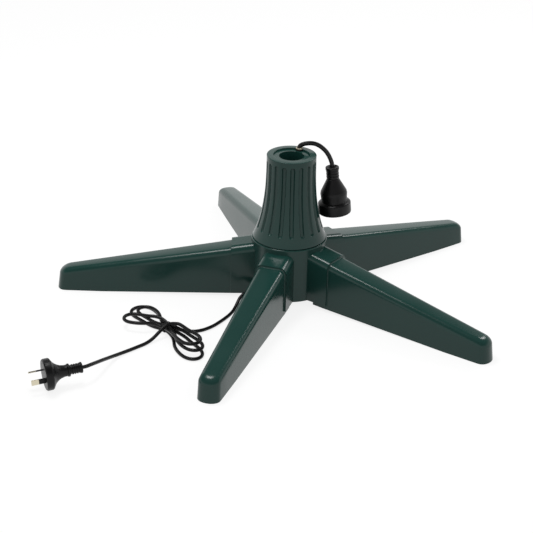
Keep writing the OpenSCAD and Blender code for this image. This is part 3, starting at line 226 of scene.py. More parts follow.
# %% [markdown]
# ### The lead on the floor
#
# The lead comes out of its strain relief low on the hub, sinks to the floor and runs to the hank.
# Behind the hank it comes down over the strands below it. The plug stands on the rim of its
# disc with its neck level, so the last stretch rises to meet the neck and ends in line with it.

# %% The whole route on the floor
gland_angle, gland_z, relief_end = -142, 16.4, 73
mains_route = [
    polar(relief_end, gland_angle, gland_z), polar(relief_end + 3, gland_angle, gland_z),
    [-61.2, -48.1, 15.4], [-64.6, -52.4, 12.8], [-67.4, -58.2, 9], [-70.2, -65.4, 5.6],
    [-73.6, -73.4, 3.4], [-79, -84, 2.5], [-87, -97.5, 2.5], [-97, -111.8, 2.5],
    [-108, -122.2, 2.5], [-116.6, -126.8, 2.5], [-121.4, -127.9, 2.5], [-125.9, -127.9, 2.5]]
hank_head = [[-129.9, -127.9, 2.5], [-133.5, -127.2, 2.6], [-138.6, -125.6, 2.9],
             [-145.6, -122.9, 3.4]]
hank_tail = [
    [-139, -131.9, 14.2], [-145, -130.5, 14.6], [-151.2, -131.7, 14.8], [-156.3, -135.3, 14.2],
    [-160.8, -140.1, 12.2], [-165.3, -145.1, 9], [-170, -150.4, 5.8], [-174.9, -156.1, 3.4],
    [-179.6, -161.6, 2.5], [-183.6, -166.2, 2.5]]
end_route = [
    [-187.9, -170.2, 2.5], [-195.8, -177.6, 2.5], [-202.9, -184, 2.5], [-209.5, -190.8, 3.1],
    [-215.1, -199.3, 5], [-220.1, -209.4, 8.1], [-224.6, -220.4, 11.8], [-228.9, -231.5, 15.6],
    [-233.1, -241.6, 18.8], [-237.5, -249.8, 21]]

plug_at = Vector((-283, -272.4, 19.86))
plug_heading, plug_tilt, plug_neck = -158.3, -2.6, 37.6
straight_behind = 5
plug_dir = Vector(polar(math.cos(math.radians(plug_tilt)), plug_heading,
                        math.sin(math.radians(plug_tilt))))
plug_end = plug_at - plug_neck * plug_dir
mains_line = through(mains_route + hank_head + turns + hank_tail + end_route
                     + [plug_end - straight_behind * plug_dir, plug_end], 5)
mains_lead = cord_piece("mains_cable", mains_line, MAINS_D)
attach(mains_lead, "base")
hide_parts("mains_lead", "mains_hank", "mains_lead_end")

# %% [markdown]
# ## Helpers for meshes
#
# Most of the pieces are moulded, so they are either turned round an axis or swept through a
# row of outlines. The first helper makes an object of points and faces and smooths its shading,
# with edges left crisp only where two faces meet at a clear angle. The second closes a row of
# rings into a skin.

# %% Objects and skins
MERGE = 1e-7    # points nearer than this, in metres or millimetres, are one point


def mesh_piece(name, points, faces, crisp=32):
    data = bpy.data.meshes.new(name)
    data.from_pydata([tuple(p) for p in points], [], faces)
    shape = bmesh.new()
    shape.from_mesh(data)
    bmesh.ops.remove_doubles(shape, verts=shape.verts, dist=MERGE)
    bmesh.ops.recalc_face_normals(shape, faces=shape.faces)
    shape.to_mesh(data)
    shape.free()
    data.shade_smooth()
    data.set_sharp_from_angle(angle=math.radians(crisp))
    piece = bpy.data.objects.new(name, data)
    bpy.context.scene.collection.objects.link(piece)
    return piece


def ring_faces(rings, count, closed=False):
    faces = []
    for i in range(rings if closed else rings - 1):
        a, b = i * count, (i + 1) % rings * count
        faces += [(a + k, a + (k + 1) % count, b + (k + 1) % count, b + k) for k in range(count)]
    return faces


# %% [markdown]
# A profile is a list of corners, each as radius and distance along the axis, with a third number
# where the corner is rounded. No moulded edge is sharp, and rounding the profile before it is
# turned is quicker and cleaner than a bevel on the finished mesh. Ribs are a row of four
# corners that repeats: two on the crest, two in the groove.

# %% Rounded profiles, ribs and turned shapes
MOST = 0.48     # a corner's rounding takes at most this share of the edges beside it


def rounded(profile, steps=5):
    line = []
    last = len(profile) - 1
    for i, entry in enumerate(profile):
        p = Vector(entry[:2])
        radius = entry[2] if len(entry) > 2 else 0
        if not radius or i in (0, last):
            line.append(p)
            continue
        before = Vector(profile[i - 1][:2]) - p
        after = Vector(profile[i + 1][:2]) - p
        half = before.angle(after) / 2
        back = min(radius / math.tan(half), before.length * MOST, after.length * MOST)
        a, b = p + before.normalized() * back, p + after.normalized() * back
        for k in range(steps + 1):
            t = k / steps
            line.append(a * (1 - t) ** 2 + p * 2 * t * (1 - t) + b * t * t)
    return line


def ribs(count, start, step, crest, width, groove, until, edge, taper=0.0, fall=0.0):
    corners = []
    for k in range(count):
        s, narrower = start + step * k, taper * k
        corners += [(crest - narrower, s, edge), (crest - narrower, s + width, edge),
                    (groove - narrower, s + width + 0.3, edge),
                    (groove - narrower - fall, s + until, edge)]
    return corners


def turned(name, profile, at, count=96, closed=False):
    line = rounded(profile)
    compass = [(math.cos(math.tau * k / count), math.sin(math.tau * k / count))
               for k in range(count)]
    points = [place(at @ Vector((r * c, r * s, along))) for r, along in line for c, s in compass]
    return mesh_piece(name, points, ring_faces(len(line), count, closed))


# %% [markdown]
# Two helpers more: one cuts a shape out of a mesh with a boolean and keeps only the result, and
# one gives the rotation about the vertical by an angle in degrees.

# %% Cutting and turning


def cut_out(piece, cutter):
    step = piece.modifiers.new("cut", "BOOLEAN")
    step.operation = "DIFFERENCE"
    step.solver = "EXACT"
    step.object = cutter
    bpy.context.view_layer.update()
    finished = piece.evaluated_get(bpy.context.evaluated_depsgraph_get())
    cut_mesh = bpy.data.meshes.new_from_object(finished)
    piece.modifiers.clear()
    piece.data = cut_mesh
    bpy.data.objects.remove(cutter)


def upright(angle):
    return Matrix.Rotation(math.radians(angle), 4, "Z")


# %% [markdown]
# ## The legs
#
# A leg is one hollow moulding, open below. Seen from above its nose is a squared oval, and
# all its top edges have the same generous rounding. A box with a bevel would be quick, but the
# nose rounds further back than the sides do, so the skin is worked out point by point. These are
# its sizes, and how its height and half width change along it. The side walls lean in by the
# draft that a moulding needs to leave its mould.

# %% Sizes of a leg, in millimetres
leg = {"reach": 315, "inner": 56, "mouth": 77.6, "nose": 11.7, "tip_w": 29.4, "tip_h": 30.5,
       "root_w": 40, "root_h": 68.8, "rise": 4, "round": 8.6, "lean": 2.8, "wall": 2.6,
       "foot": 60, "draft": 0.03, "shelf": 44, "shelf_t": 3, "screw": 66, "slot": 5,
       "nose_round": 13, "nose_power": 2.1, "nose_spread": 0.6,
       "collar_side": 0.12, "collar_top": 1.1}
nose_x = leg["reach"] - leg["nose"]
foot_x = leg["reach"] - leg["foot"]
leg_slope = (leg["root_h"] - leg["tip_h"]) / (nose_x - leg["mouth"])


def leg_top(x):
    return leg["root_h"] - leg_slope * (x - leg["mouth"])


def leg_half(x):
    share = (nose_x - max(x, leg["mouth"])) / (nose_x - leg["mouth"])
    return (leg["tip_w"] + (leg["root_w"] - leg["tip_w"]) * share) / 2


def leg_bottom(x):
    return leg["rise"] * max(0, foot_x - x) / (foot_x - leg["mouth"])


print("a leg's top falls by %.1f degrees" % math.degrees(math.atan(leg_slope)))

# %% [markdown]
# The skin is a strip of outlines. A station is a place on the leg's outline seen from above: on
# a side it has its distance from the axis, and on the nose a number that runs from 1 to -1 across
# it. At each station the points climb from the rim on the floor, row 0, up the side to row 1, and
# then over the rounding. The same rule with the wall taken off gives the inside. Inside its stub
# the leg is a little fuller, as a plug-in leg is, so that it sits without play.

# %% One point of a leg's skin
NOSE, ROUND = 40, 8    # steps across the nose, and over the rounding


def nose_across(q):
    return math.copysign(abs(q) ** leg["nose_spread"], q) if q else 0.0


def leg_point(station, row, skin):
    x0, q = station
    above_rim = 1 if row else 0
    r = leg["round"] - skin
    climb = math.radians(90 * max(row - 1, 0) / ROUND)
    inset = above_rim * r * (1 - math.cos(climb))
    nose_inset = above_rim * (leg["nose_round"] - skin) * (1 - math.cos(climb))
    on_nose = x0 is None
    full = (leg["tip_w"] / 2 if on_nose else leg_half(x0)) - skin
    in_stub = skin == 0 and not on_nose and x0 <= leg["mouth"]
    half = (full + leg["collar_side"] if in_stub else full * (1 - above_rim * leg["draft"])) - inset
    x, y = x0, math.copysign(1, q) * half
    if on_nose:
        power = leg["nose_power"]
        bend = leg["nose"] * (1 - (1 - abs(nose_across(q)) ** power) ** (1 / power))
        x = leg["reach"] - skin - above_rim * leg["lean"] - nose_inset - bend * half / full
        y = nose_across(q) * half
    z = leg_top(x) - skin - r + r * math.sin(climb) if row else leg_bottom(x)
    if in_stub and row:
        z += leg["collar_top"]
    return [x, y, z]


# %% [markdown]
# With the points in rows, the faces are squares between neighbours. The outside and the inside
# are joined along the rim and at the open end by the hub, and the top is closed by rungs between
# the two sides. So the leg is one watertight skin with a real wall.

# %% The skin of a leg
side_x = [leg["inner"], 66, leg["mouth"], leg["mouth"] + 0.5, 110, 150, 190, 225, foot_x, 280]
stations = ([(x, 1) for x in side_x] + [(None, 1 - 2 * k / NOSE) for k in range(NOSE + 1)]
            + [(x, -1) for x in reversed(side_x)])
rows = ROUND + 2
top, far = rows - 1, len(stations) - 1
leg_points = [leg_point(s, row, skin)
              for skin in (0, leg["wall"]) for s in stations for row in range(rows)]


def corner(i, row, inside):
    return inside * len(stations) * rows + i * rows + row


leg_faces = []
for i in range(far):
    for v in range(top):
        leg_faces.append((corner(i, v, 0), corner(i + 1, v, 0),
                          corner(i + 1, v + 1, 0), corner(i, v + 1, 0)))
        leg_faces.append((corner(i, v, 1), corner(i, v + 1, 1),
                          corner(i + 1, v + 1, 1), corner(i + 1, v, 1)))
    leg_faces.append((corner(i, 0, 0), corner(i, 0, 1), corner(i + 1, 0, 1), corner(i + 1, 0, 0)))
for end in (0, far):
    for v in range(top):
        leg_faces.append((corner(end, v, 0), corner(end, v, 1),
                          corner(end, v + 1, 1), corner(end, v + 1, 0)))
leg_faces.append((corner(0, top, 0), corner(0, top, 1), corner(far, top, 1), corner(far, top, 0)))
for inside in (0, 1):
    for i in range(far // 2):
        a, b = corner(i, top, inside), corner(i + 1, top, inside)
        c, d = corner(far - 1 - i, top, inside), corner(far - i, top, inside)
        leg_faces.append((a, b, d) if b == c else (a, b, c, d))
leg_shape = mesh_piece("leg_shape", leg_points, leg_faces)
print("a leg has", len(leg_points), "points and", len(leg_faces), "faces")

# %% [markdown]
# Inside the stub, a boss for the leg's screw hangs down through a slot in the leg's top. The slot
# is cut with a boolean, once for all five legs, which keeps the rest of the skin as it was. Its
# end is a half circle round the boss.

# %% The slot for the screw's boss
open_end = leg["inner"] - 2    # the cutter starts outside the leg
slot_low, slot_high = leg["shelf"] + 1, 90
outline = [(open_end, -leg["slot"]), (leg["screw"], -leg["slot"])]
outline += [(leg["screw"] + leg["slot"] * math.sin(math.radians(a)),
             -leg["slot"] * math.cos(math.radians(a))) for a in range(10, 180, 10)]
outline += [(leg["screw"], leg["slot"]), (open_end, leg["slot"])]
k = len(outline)
cutter_faces = [tuple(range(k)), tuple(range(2 * k - 1, k - 1, -1))]
cutter_faces += [(i, (i + 1) % k, k + (i + 1) % k, k + i) for i in range(k)]
slot_cutter = mesh_piece(
    "slot_cutter", [(x, y, z) for z in (slot_low, slot_high) for x, y in outline], cutter_faces)
cut_out(leg_shape, slot_cutter)
print("slot:", 2 * leg["slot"], "mm wide")

# %% [markdown]
# A small shelf under the slot takes the screw's head. It is a plain plate between the leg's
# walls, hidden inside, so a block of six faces will do. It reaches a little into the walls, as
# one moulding does.

# %% The shelf for the screw's head
BLOCK = [(0, 1, 3, 2), (4, 6, 7, 5), (0, 4, 5, 1), (2, 3, 7, 6), (0, 2, 6, 4), (1, 5, 7, 3)]
into_wall = 0.4
shelf_from, shelf_to = leg["inner"] + 1, leg["inner"] + 20.6
shelf_half = leg["root_w"] / 2 * (1 - leg["draft"]) - leg["wall"] + into_wall
shelf = bmesh.new()
shelf.from_mesh(leg_shape.data)
corners = [shelf.verts.new((x, y, z)) for x in (shelf_from, shelf_to)
           for y in (-shelf_half, shelf_half)
           for z in (leg["shelf"] - leg["shelf_t"], leg["shelf"])]
for quad in BLOCK:
    shelf.faces.new([corners[i] for i in quad])
shelf.to_mesh(leg_shape.data)
shelf.free()
leg_shape.data.shade_smooth()
leg_shape.data.set_sharp_from_angle(angle=math.radians(32))
print("shelf: %.1f mm wide" % (2 * shelf_half))

# %% [markdown]
# The leg was made once, lying along +X. A copy of its mesh is turned into each of the five
# places, 72 degrees apart, and scaled from millimetres to metres on the way.

# %% The five legs
leg_angles = [180 - 72 * i for i in range(5)]
leg_pieces = []
for i, angle in enumerate(leg_angles):
    data = leg_shape.data.copy()
    data.transform(Matrix.Translation((axis_x, 0, 0)) @ upright(angle) @ Matrix.Scale(MM, 4))
    piece = bpy.data.objects.new("leg_moulding_%d" % (i + 1), data)
    bpy.context.scene.collection.objects.link(piece)
    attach(piece, "base")
    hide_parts("leg_%d" % (i + 1))
    leg_pieces.append(piece)
bpy.data.objects.remove(leg_shape)
print("legs made:", len(leg_pieces))

# %% [markdown]
# ## The tower
#
# The tower's wall flares towards the hub, and has rounded grooves all round that stop short of
# both ends. The grooves could be cut with booleans, but then their walls would be sharp. Here
# the wall is a fine grid of rings, and a point near a groove's middle line is pushed in. How
# far depends only on its distance from that line, which rounds the grooves' ends too.

# %% Sizes of the tower, in millimetres
tower = {"foot": 84.5, "top": 200, "foot_r": 49.6, "top_r": 32.8, "flare": 3, "wall": 3,
         "flutes": 18, "flute_w": 6.4, "flute_d": 2.3, "low": 97.5, "high": 193, "phase": 13,
         "flute_brink": 1.5, "flute_slope": 1.6,
         "ledge": 196, "recess_r": 24.1, "hole_r": 18.5, "under": 193.5}


def tower_r(z):
    share = (z - tower["foot"]) / (tower["top"] - tower["foot"])
    return tower["top_r"] + (tower["foot_r"] - tower["top_r"]) * (1 - share) ** tower["flare"]


def flute_depth(across, z):
    half = tower["flute_w"] / 2
    beyond = max(0.0, z - (tower["high"] - half), (tower["low"] + half) - z)
    away = math.hypot(across, beyond)
    return tower["flute_d"] * (1 - ease((away - (half - tower["flute_brink"]))
                                        / tower["flute_slope"]))


print("tower: %.1f mm radius half way up" % tower_r((tower["foot"] + tower["top"]) / 2))

# %% [markdown]
# The grid's columns are closer together near the grooves, and its rings near the grooves' ends,
# so that the shape is smooth where it bends and costs little where it doesn't. The columns are
# degrees from the middle line of a groove, and repeat for each one.

# %% The tower's fluted wall
pitch = 360 / tower["flutes"]
columns = [-8.6, -7, -6] + [k * 0.5 for k in range(-11, 12)] + [6, 7, 8.6]
around = [f * pitch + c + tower["phase"] for f in range(tower["flutes"]) for c in columns]
heights = ([85.6, 87.5, 90, 92.5, 95] + [96.5 + 0.5 * k for k in range(13)]
           + [105 + 4.95 * k for k in range(17)] + [187 + 0.5 * k for k in range(14)]
           + [195, 197, 198.4])
fluted = []
for z in heights:
    r = tower_r(z)
    ring = []
    for a in around:
        across = math.radians((a - tower["phase"] + pitch / 2) % pitch - pitch / 2) * r
        ring.append(polar(r - flute_depth(across, z), a, z))
    fluted.append(ring)
print("fluted wall:", len(fluted), "rings of", len(around), "points")

# %% [markdown]
# Below and above the grooves the wall is plain. The rest of its section runs round the foot, over
# the rim, down to the ledge that frames the pole tube, and back down the inside of the wall. Its
# corners are rounded as those of a turned profile are, and all rings together make one skin.

# %% The tower's foot, rim and inside
first_z, last_z = heights[0], heights[-1]
rim_in = tower["recess_r"] + 0.8
foot = rounded([(tower["foot_r"] - 3, tower["foot"]), (tower["foot_r"], tower["foot"], 0.9),
                (tower_r(first_z), first_z)])[:-1]
rim = rounded([(tower_r(last_z), last_z), (tower["top_r"], tower["top"], 1.5),
               (rim_in, tower["top"])])[1:]
inner = rounded([(rim_in, tower["top"]), (tower["recess_r"], tower["top"], 0.5),
                 (tower["recess_r"], tower["ledge"], 0.4), (tower["hole_r"], tower["ledge"], 0.4),
                 (tower["hole_r"], tower["under"]),
                 (tower_r(tower["under"]) - tower["wall"], tower["under"])])[1:]
inner += [(tower_r(z) - tower["wall"], z) for z in (185, 170, 155, 140, 125, 112, 102, 94, 88)]
loop = ([[polar(r, a, z) for a in around] for r, z in foot] + fluted
        + [[polar(r, a, z) for a in around] for r, z in rim + inner])
tower_shell = mesh_piece("tower_moulding", [place(p) for ring in loop for p in ring],
                         ring_faces(len(loop), len(around), closed=True), 38)

# %% [markdown]
# The lead comes up through a round hole in the ledge, beside the pole tube. The hole takes a bite
# out of the rim as well. A boolean cuts both at once, with a clean edge all round.

# %% The hole for the lead in the tower's top
hole_at, hole_r, hole_low, hole_high = polar(23.2, 64), 4.9, 190, 205
lead_hole = turned("hole_cutter", [(0, hole_low), (hole_r, hole_low), (hole_r, hole_high),
                                   (0, hole_high)], Matrix.Translation(hole_at), 48)
cut_out(tower_shell, lead_hole)
tower_shell.data.set_sharp_from_angle(angle=math.radians(38))
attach(tower_shell, "rotor")
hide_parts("tower_shell")
print("tower:", len(tower_shell.data.polygons), "faces,", len(loop), "rings of", len(around))

# %% [markdown]
# ## The socket that hangs from the lead
#
# It is one soft black moulding round its contacts: a collar where the lead goes in, a short
# ribbed neck, a bell with straight flanks, and a wide flange with the open face. A turned profile
# with a radius at each corner gives all of that. Its face stays open, so the two contacts can
# be seen.

# %% The socket's moulding
hang = (Matrix.Translation(connector_at)
        @ Matrix.Rotation(math.radians(180 - connector_lean), 4, "Y"))
collar = [(0, 2.6), (3.02, 2.6), (5.4, 1.4, 0.6), (7.4, 0.1, 0.6), (9.1, 0, 0.8), (9.1, 3.5, 0.8),
          (8.2, 4.3, 0.4)]
neck = ribs(3, 4.5, 3.97, crest=8.5, width=2, groove=7.7, until=3.6, edge=0.3)
bell = [(8.5, 16.6, 0.3), (8.5, 17.4, 0.6), (17.4, 34.2, 0.9), (18.1, 37.4, 1), (17.6, 43.4, 2),
        (17.2, 48.5, 0.6)]
flange = [(19.5, 49.5, 0.6), (22.1, 51, 1.4), (22.1, 65, 1.2), (19.1, 65, 0.5), (19.1, 56, 0.6),
          (0, 56)]
socket_body = turned("socket_moulding", collar + neck + bell + flange, hang)
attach(socket_body, "rotor")
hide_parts("connector_body")
print("socket:", len(socket_body.data.polygons), "faces")

# %% [markdown]
# ## The plug
#
# The plug has a thick disc behind its two pins, and its neck flows out of the disc in a hollow
# curve. A thin rib marks the end of the grip, and behind it the strain relief is ribbed so that
# it can bend. It is turned like the socket.

# %% The plug's moulding
plug_place = (Matrix.Translation(plug_at) @ upright(plug_heading)
              @ Matrix.Rotation(math.radians(90 - plug_tilt), 4, "Y"))
relief_tip = [(0, -37), (2.4, -37), (5.9, -37.6, 0.4), (6.8, -37.1, 0.4), (6.8, -35.4, 0.4)]
relief = ribs(4, -34.8, 2.9, crest=6.3, width=1.4, groove=5.6, until=2.6, edge=0.25)
grip = [(6.3, -22.4, 0.4), (8, -21.7, 0.4), (8, -19.5, 0.4), (7.1, -18.7, 0.6), (7.1, -15.5, 4),
        (8, -11.3, 4), (9.1, -8.6, 3), (10.8, -6, 3), (13.1, -3.4, 3), (16.1, -1.3, 3)]
disc = [(18.5, 0, 0.8), (19.5, 1.2, 0.8), (19.5, 7.7, 0.7), (18.3, 9.2, 0.7), (0, 9.2)]
plug_body = turned("plug_moulding", relief_tip + relief + grip + disc, plug_place)
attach(plug_body, "base")
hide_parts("plug_body")
print("plug:", len(plug_body.data.polygons), "faces")

# %% [markdown]
# ## The strain relief at the hub
#
# The relief is a ribbed cone that sits in the hub's wall with a flange on each side, and tapers
# towards its end so that the lead bends gently. The lead runs through it, so its profile is
# closed into a ring instead of ending on the axis.

# %% The ribbed strain relief
gland = (Matrix.Translation((0, 0, gland_z)) @ upright(gland_angle)
         @ Matrix.Rotation(math.radians(90), 4, "Y"))
in_the_wall = [(2.35, 45.9), (5.6, 45.9, 0.4), (5.6, 47.8, 0.3), (4.5, 47.8), (4.5, 51.4),
               (5.6, 51.4, 0.3), (5.6, 54, 0.6)]
cone = ribs(5, 55.0, 3.4, crest=4.5, width=1.7, groove=3.8, until=3.1, edge=0.25,
            taper=0.25, fall=0.05)
lead_bush = turned("lead_relief", in_the_wall + cone + [(3.1, relief_end, 0.3), (2.35, relief_end)],
                   gland, 64, closed=True)
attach(lead_bush, "base")
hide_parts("lead_bush")
print("relief:", len(lead_bush.data.polygons), "faces")

# %% [markdown]
# ## The tie of the hank
#
# The tie is a narrow strap drawn round the strands of the waist. Seen along the waist it is
# what a string does when it is pulled tight round a bundle of pipes: the hull of the outermost
# four strands' circles. That outline is made twice, at the strap's inner and outer face, and
# swept across the strap's width with its edges eased.

# %% The tie round the waist
OUTERMOST, HULL_STEPS = (0, 1, 4, 5), 64
slack, strap, half_wide, eased = 0.35, 0.8, 2.25, 0.1


def hull_outline(centres, radius):
    outline = []
    for k in range(HULL_STEPS):
        a = math.tau * k / HULL_STEPS
        d = Vector((math.cos(a), math.sin(a)))
        outline.append(max((Vector(c) + radius * d for c in centres), key=lambda p: p.dot(d)))
    return outline


centres = [(strand_lanes[k][0] * strand_step,
            MAINS_D / 2 + waist_lift + strand_lanes[k][1] * strand_step) for k in OUTERMOST]
tight = MAINS_D / 2 + slack
outer = tight + strap
tie_place = (Matrix.Translation((waist[0], waist[1], 0)) @ upright(waist_heading - 90)
             @ Matrix.Rotation(math.radians(90), 4, "X"))
half_band = [(tight, half_wide - 0.15), (tight + eased, half_wide), (outer - 0.15, half_wide),
             (outer, half_wide - 0.25)]
bands = [(r, -s) for r, s in half_band] + half_band[::-1]
tie_points = [place(tie_place @ Vector((p.x, p.y, s)))
              for r, s in bands for p in hull_outline(centres, r)]
hank_tie = mesh_piece("tie_strap", tie_points, ring_faces(len(bands), HULL_STEPS, closed=True))
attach(hank_tie, "base")
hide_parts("hank_tie")
print("tie:", len(hank_tie.data.polygons), "faces")

# %% [markdown]
# ## How long the cords are
#
# The length of each free cord, as its line runs above, is printed here.

print("cords, mm: %.1f and %.1f" % (run_length(socket_line), run_length(mains_line)))

# %% [markdown]
# ## Finishes
#
# No moulded surface is quite even. Its colour drifts a little with the flow of the plastic, its
# gloss changes where it has been handled, and its face is slightly wavy over the ribs behind it.
# One node group works those three out, and each material takes them with its own numbers. The
# group gives out only values that change over the surface. The shader stays in the material.

# %% The group and its sockets
surface = bpy.data.node_groups.new("uneven surface", "ShaderNodeTree")
GREY, DARK_GREY = (0.5, 0.5, 0.5, 1), (0.4, 0.4, 0.4, 1)
for name, kind, value in (
        ("Wave size", "Float", 30.0), ("Grain size", "Float", 900.0), ("Grain share", "Float", 0.3),
        ("Smoothest", "Float", 0.2), ("Roughest", "Float", 0.3),
        ("Colour", "Color", GREY), ("Second colour", "Color", DARK_GREY)):
    item = surface.interface.new_socket(name=name, in_out="INPUT", socket_type="NodeSocket" + kind)
    item.default_value = value
for name, kind in (("Tint", "Color"), ("Roughness", "Float"), ("Height", "Float")):
    surface.interface.new_socket(name=name, in_out="OUTPUT", socket_type="NodeSocket" + kind)
print("group:", [s.name for s in surface.interface.items_tree])

# %% [markdown]
# Three noises do the work. The drift is slow and changes the colour and the gloss together, as
# handling does. The waves and the grain are heights, one broad and one fine, and their mix is the
# surface that a bump node bends the light with. They are laid out in the object's own
# coordinates, so the pattern turns with the tower and needs no unwrapping.

# %% The noises of the group
add = surface.nodes.new
link = surface.links.new
inputs, outputs = add("NodeGroupInput"), add("NodeGroupOutput")
where = add("ShaderNodeTexCoord")
waves, grain, drift = [add("ShaderNodeTexNoise") for _ in range(3)]
for noise, detail in ((waves, 2), (grain, 3), (drift, 4)):
    noise.inputs["Detail"].default_value = detail
    link(where.outputs["Object"], noise.inputs["Vector"])
drift.inputs["Scale"].default_value = 17
link(inputs.outputs["Wave size"], waves.inputs["Scale"])
link(inputs.outputs["Grain size"], grain.inputs["Scale"])

# %% [markdown]
# The drift mixes the two colours, and is stretched between the smoothest and the roughest. The
# grain's share says how much of the height is grain and how much is waves.

# %% What the group puts out
tint = add("ShaderNodeMix")
tint.data_type = "RGBA"
link(drift.outputs["Fac"], tint.inputs["Factor"])
link(inputs.outputs["Colour"], tint.inputs["A"])
link(inputs.outputs["Second colour"], tint.inputs["B"])
link(tint.outputs["Result"], outputs.inputs["Tint"])
gloss = add("ShaderNodeMapRange")
gloss.inputs["From Min"].default_value = 0.3
gloss.inputs["From Max"].default_value = 0.7
link(drift.outputs["Fac"], gloss.inputs["Value"])
link(inputs.outputs["Smoothest"], gloss.inputs["To Min"])
link(inputs.outputs["Roughest"], gloss.inputs["To Max"])
link(gloss.outputs["Result"], outputs.inputs["Roughness"])
height = add("ShaderNodeMix")
height.data_type = "FLOAT"
link(inputs.outputs["Grain share"], height.inputs["Factor"])
link(waves.outputs["Fac"], height.inputs["A"])
link(grain.outputs["Fac"], height.inputs["B"])
link(height.outputs["Result"], outputs.inputs["Height"])
print("nodes in the group:", len(surface.nodes))

# %% [markdown]
# A material is the group, a bump node and one shader. What is the same all over the surface, such
# as how metallic it is, is set on the shader itself.

# %% A material from the group
BUMP_DEPTH = 0.0004    # metres from the lowest to the highest point of the height


def finish(name, colour, second, smooth, rough, wave=30, grain=900, share=0.3, bump=0.02,
           metallic=0.0, specular=0.5):
    material = bpy.data.materials.new(name)
    material.use_nodes = True
    tree = material.node_tree
    shader = tree.nodes["Principled BSDF"]
    group = tree.nodes.new("ShaderNodeGroup")
    group.node_tree = surface
    for socket, value in (("Wave size", wave), ("Grain size", grain), ("Grain share", share),
                          ("Smoothest", smooth), ("Roughest", rough),
                          ("Colour", (*colour, 1)), ("Second colour", (*second, 1))):
        group.inputs[socket].default_value = value
    bend = tree.nodes.new("ShaderNodeBump")
    bend.inputs["Strength"].default_value = bump
    bend.inputs["Distance"].default_value = BUMP_DEPTH
    tree.links.new(group.outputs["Tint"], shader.inputs["Base Color"])
    tree.links.new(group.outputs["Roughness"], shader.inputs["Roughness"])
    tree.links.new(group.outputs["Height"], bend.inputs["Height"])
    tree.links.new(bend.outputs["Normal"], shader.inputs["Normal"])
    shader.inputs["Metallic"].default_value = metallic
    shader.inputs["Specular IOR Level"].default_value = specular
    material.diffuse_color = (*colour, 1)
    return material


# %% [markdown]
# The green is a dark bottle green with a high gloss. Most of what the eye sees on it is
# reflection, so its own colour is very dark. The black mouldings have a fine spark-eroded
# grain, and the cords a sheath that is a little glossier. The pale strap is the small tie on the
# lead at the top.

# %% The finishes that are seen
finishes = {
    "green": finish("dark green gloss plastic", (0.010, 0.048, 0.040), (0.013, 0.056, 0.047),
                    0.17, 0.24, wave=26, grain=700, share=0.04, bump=0.025, specular=0.32),
    "black_moulding": finish("black satin moulding", (0.003, 0.003, 0.004), (0.006, 0.006, 0.006),
                             0.3, 0.42, wave=60, grain=1800, share=0.6, bump=0.12, specular=0.24),
    "black_rubber": finish("black flexible moulding", (0.005, 0.005, 0.005), (0.009, 0.009, 0.009),
                           0.36, 0.5, wave=80, grain=1500, share=0.6, bump=0.15, specular=0.3),
    "black_cord": finish("black sheath", (0.003, 0.003, 0.004), (0.008, 0.008, 0.008),
                         0.3, 0.42, wave=120, grain=1400, share=0.4, bump=0.12, specular=0.3),
    "nylon": finish("clear nylon strap", (0.62, 0.55, 0.38), (0.7, 0.66, 0.52), 0.25, 0.4,
                    bump=0.1),
    "brass": finish("nickelled brass", (0.62, 0.56, 0.42), (0.7, 0.66, 0.52), 0.25, 0.38,
                    wave=90, grain=2500, share=0.7, bump=0.1, metallic=1.0),
}

# %% [markdown]
# The rest is inside: the motor's drawn can, turned steel, zinc-plated screws, the bearing's
# balls, white gears, the board of the slip rings and the wires. Nobody sees them in a picture of
# the closed stand, but they are there when it is taken apart.

# %% The finishes inside
finishes.update({
    "bronze": finish("bronze", (0.5, 0.32, 0.15), (0.56, 0.38, 0.2), 0.3, 0.45,
                     wave=90, grain=1500, share=0.7, bump=0.1, metallic=1.0),
    "zinc": finish("zinc plate", (0.5, 0.5, 0.51), (0.6, 0.6, 0.6), 0.25, 0.4,
                   wave=120, grain=2000, share=0.6, bump=0.1, metallic=1.0),
    "steel": finish("turned steel", (0.4, 0.4, 0.41), (0.48, 0.48, 0.49), 0.22, 0.34,
                    wave=60, grain=2600, share=0.8, bump=0.15, metallic=1.0),
    "polished": finish("polished balls", (0.62, 0.62, 0.64), (0.66, 0.66, 0.67), 0.06, 0.1,
                       metallic=1.0),
    "motor_case": finish("drawn steel can", (0.45, 0.45, 0.43), (0.52, 0.52, 0.5), 0.3, 0.42,
                         wave=40, grain=1200, share=0.5, bump=0.2, metallic=1.0),
    "acetal": finish("white acetal", (0.74, 0.73, 0.68), (0.78, 0.77, 0.73), 0.36, 0.46,
                     wave=50, grain=1600, share=0.5, bump=0.1),
    "insulator": finish("laminated board", (0.25, 0.14, 0.05), (0.32, 0.19, 0.08), 0.4, 0.55,
                        wave=300, grain=1800, share=0.5, bump=0.15),
    "natural": finish("natural nylon", (0.62, 0.6, 0.5), (0.68, 0.66, 0.57), 0.36, 0.5,
                      wave=60, grain=1500, share=0.5, bump=0.1),
    "wire": finish("wire insulation", (0.06, 0.02, 0.01), (0.09, 0.03, 0.015), 0.3, 0.4,
                   wave=150, grain=1500, share=0.5, bump=0.1),
})
print("finishes:", len(finishes))

# %% [markdown]
# The hub keeps its measured solid. A small bevel on its crisp edges is enough: a moulded edge is
# never sharp, and the rims of the stubs' mouths catch the light.

# %% Round the hub's edges
soften = nodes["hub_housing"].modifiers.new("edges", "BEVEL")
soften.width = 0.5 * MM
soften.segments = 2
soften.limit_method = "ANGLE"
soften.angle_limit = math.radians(40)
soften.harden_normals = True
print("edges rounded by %.1f mm" % (soften.width / MM))
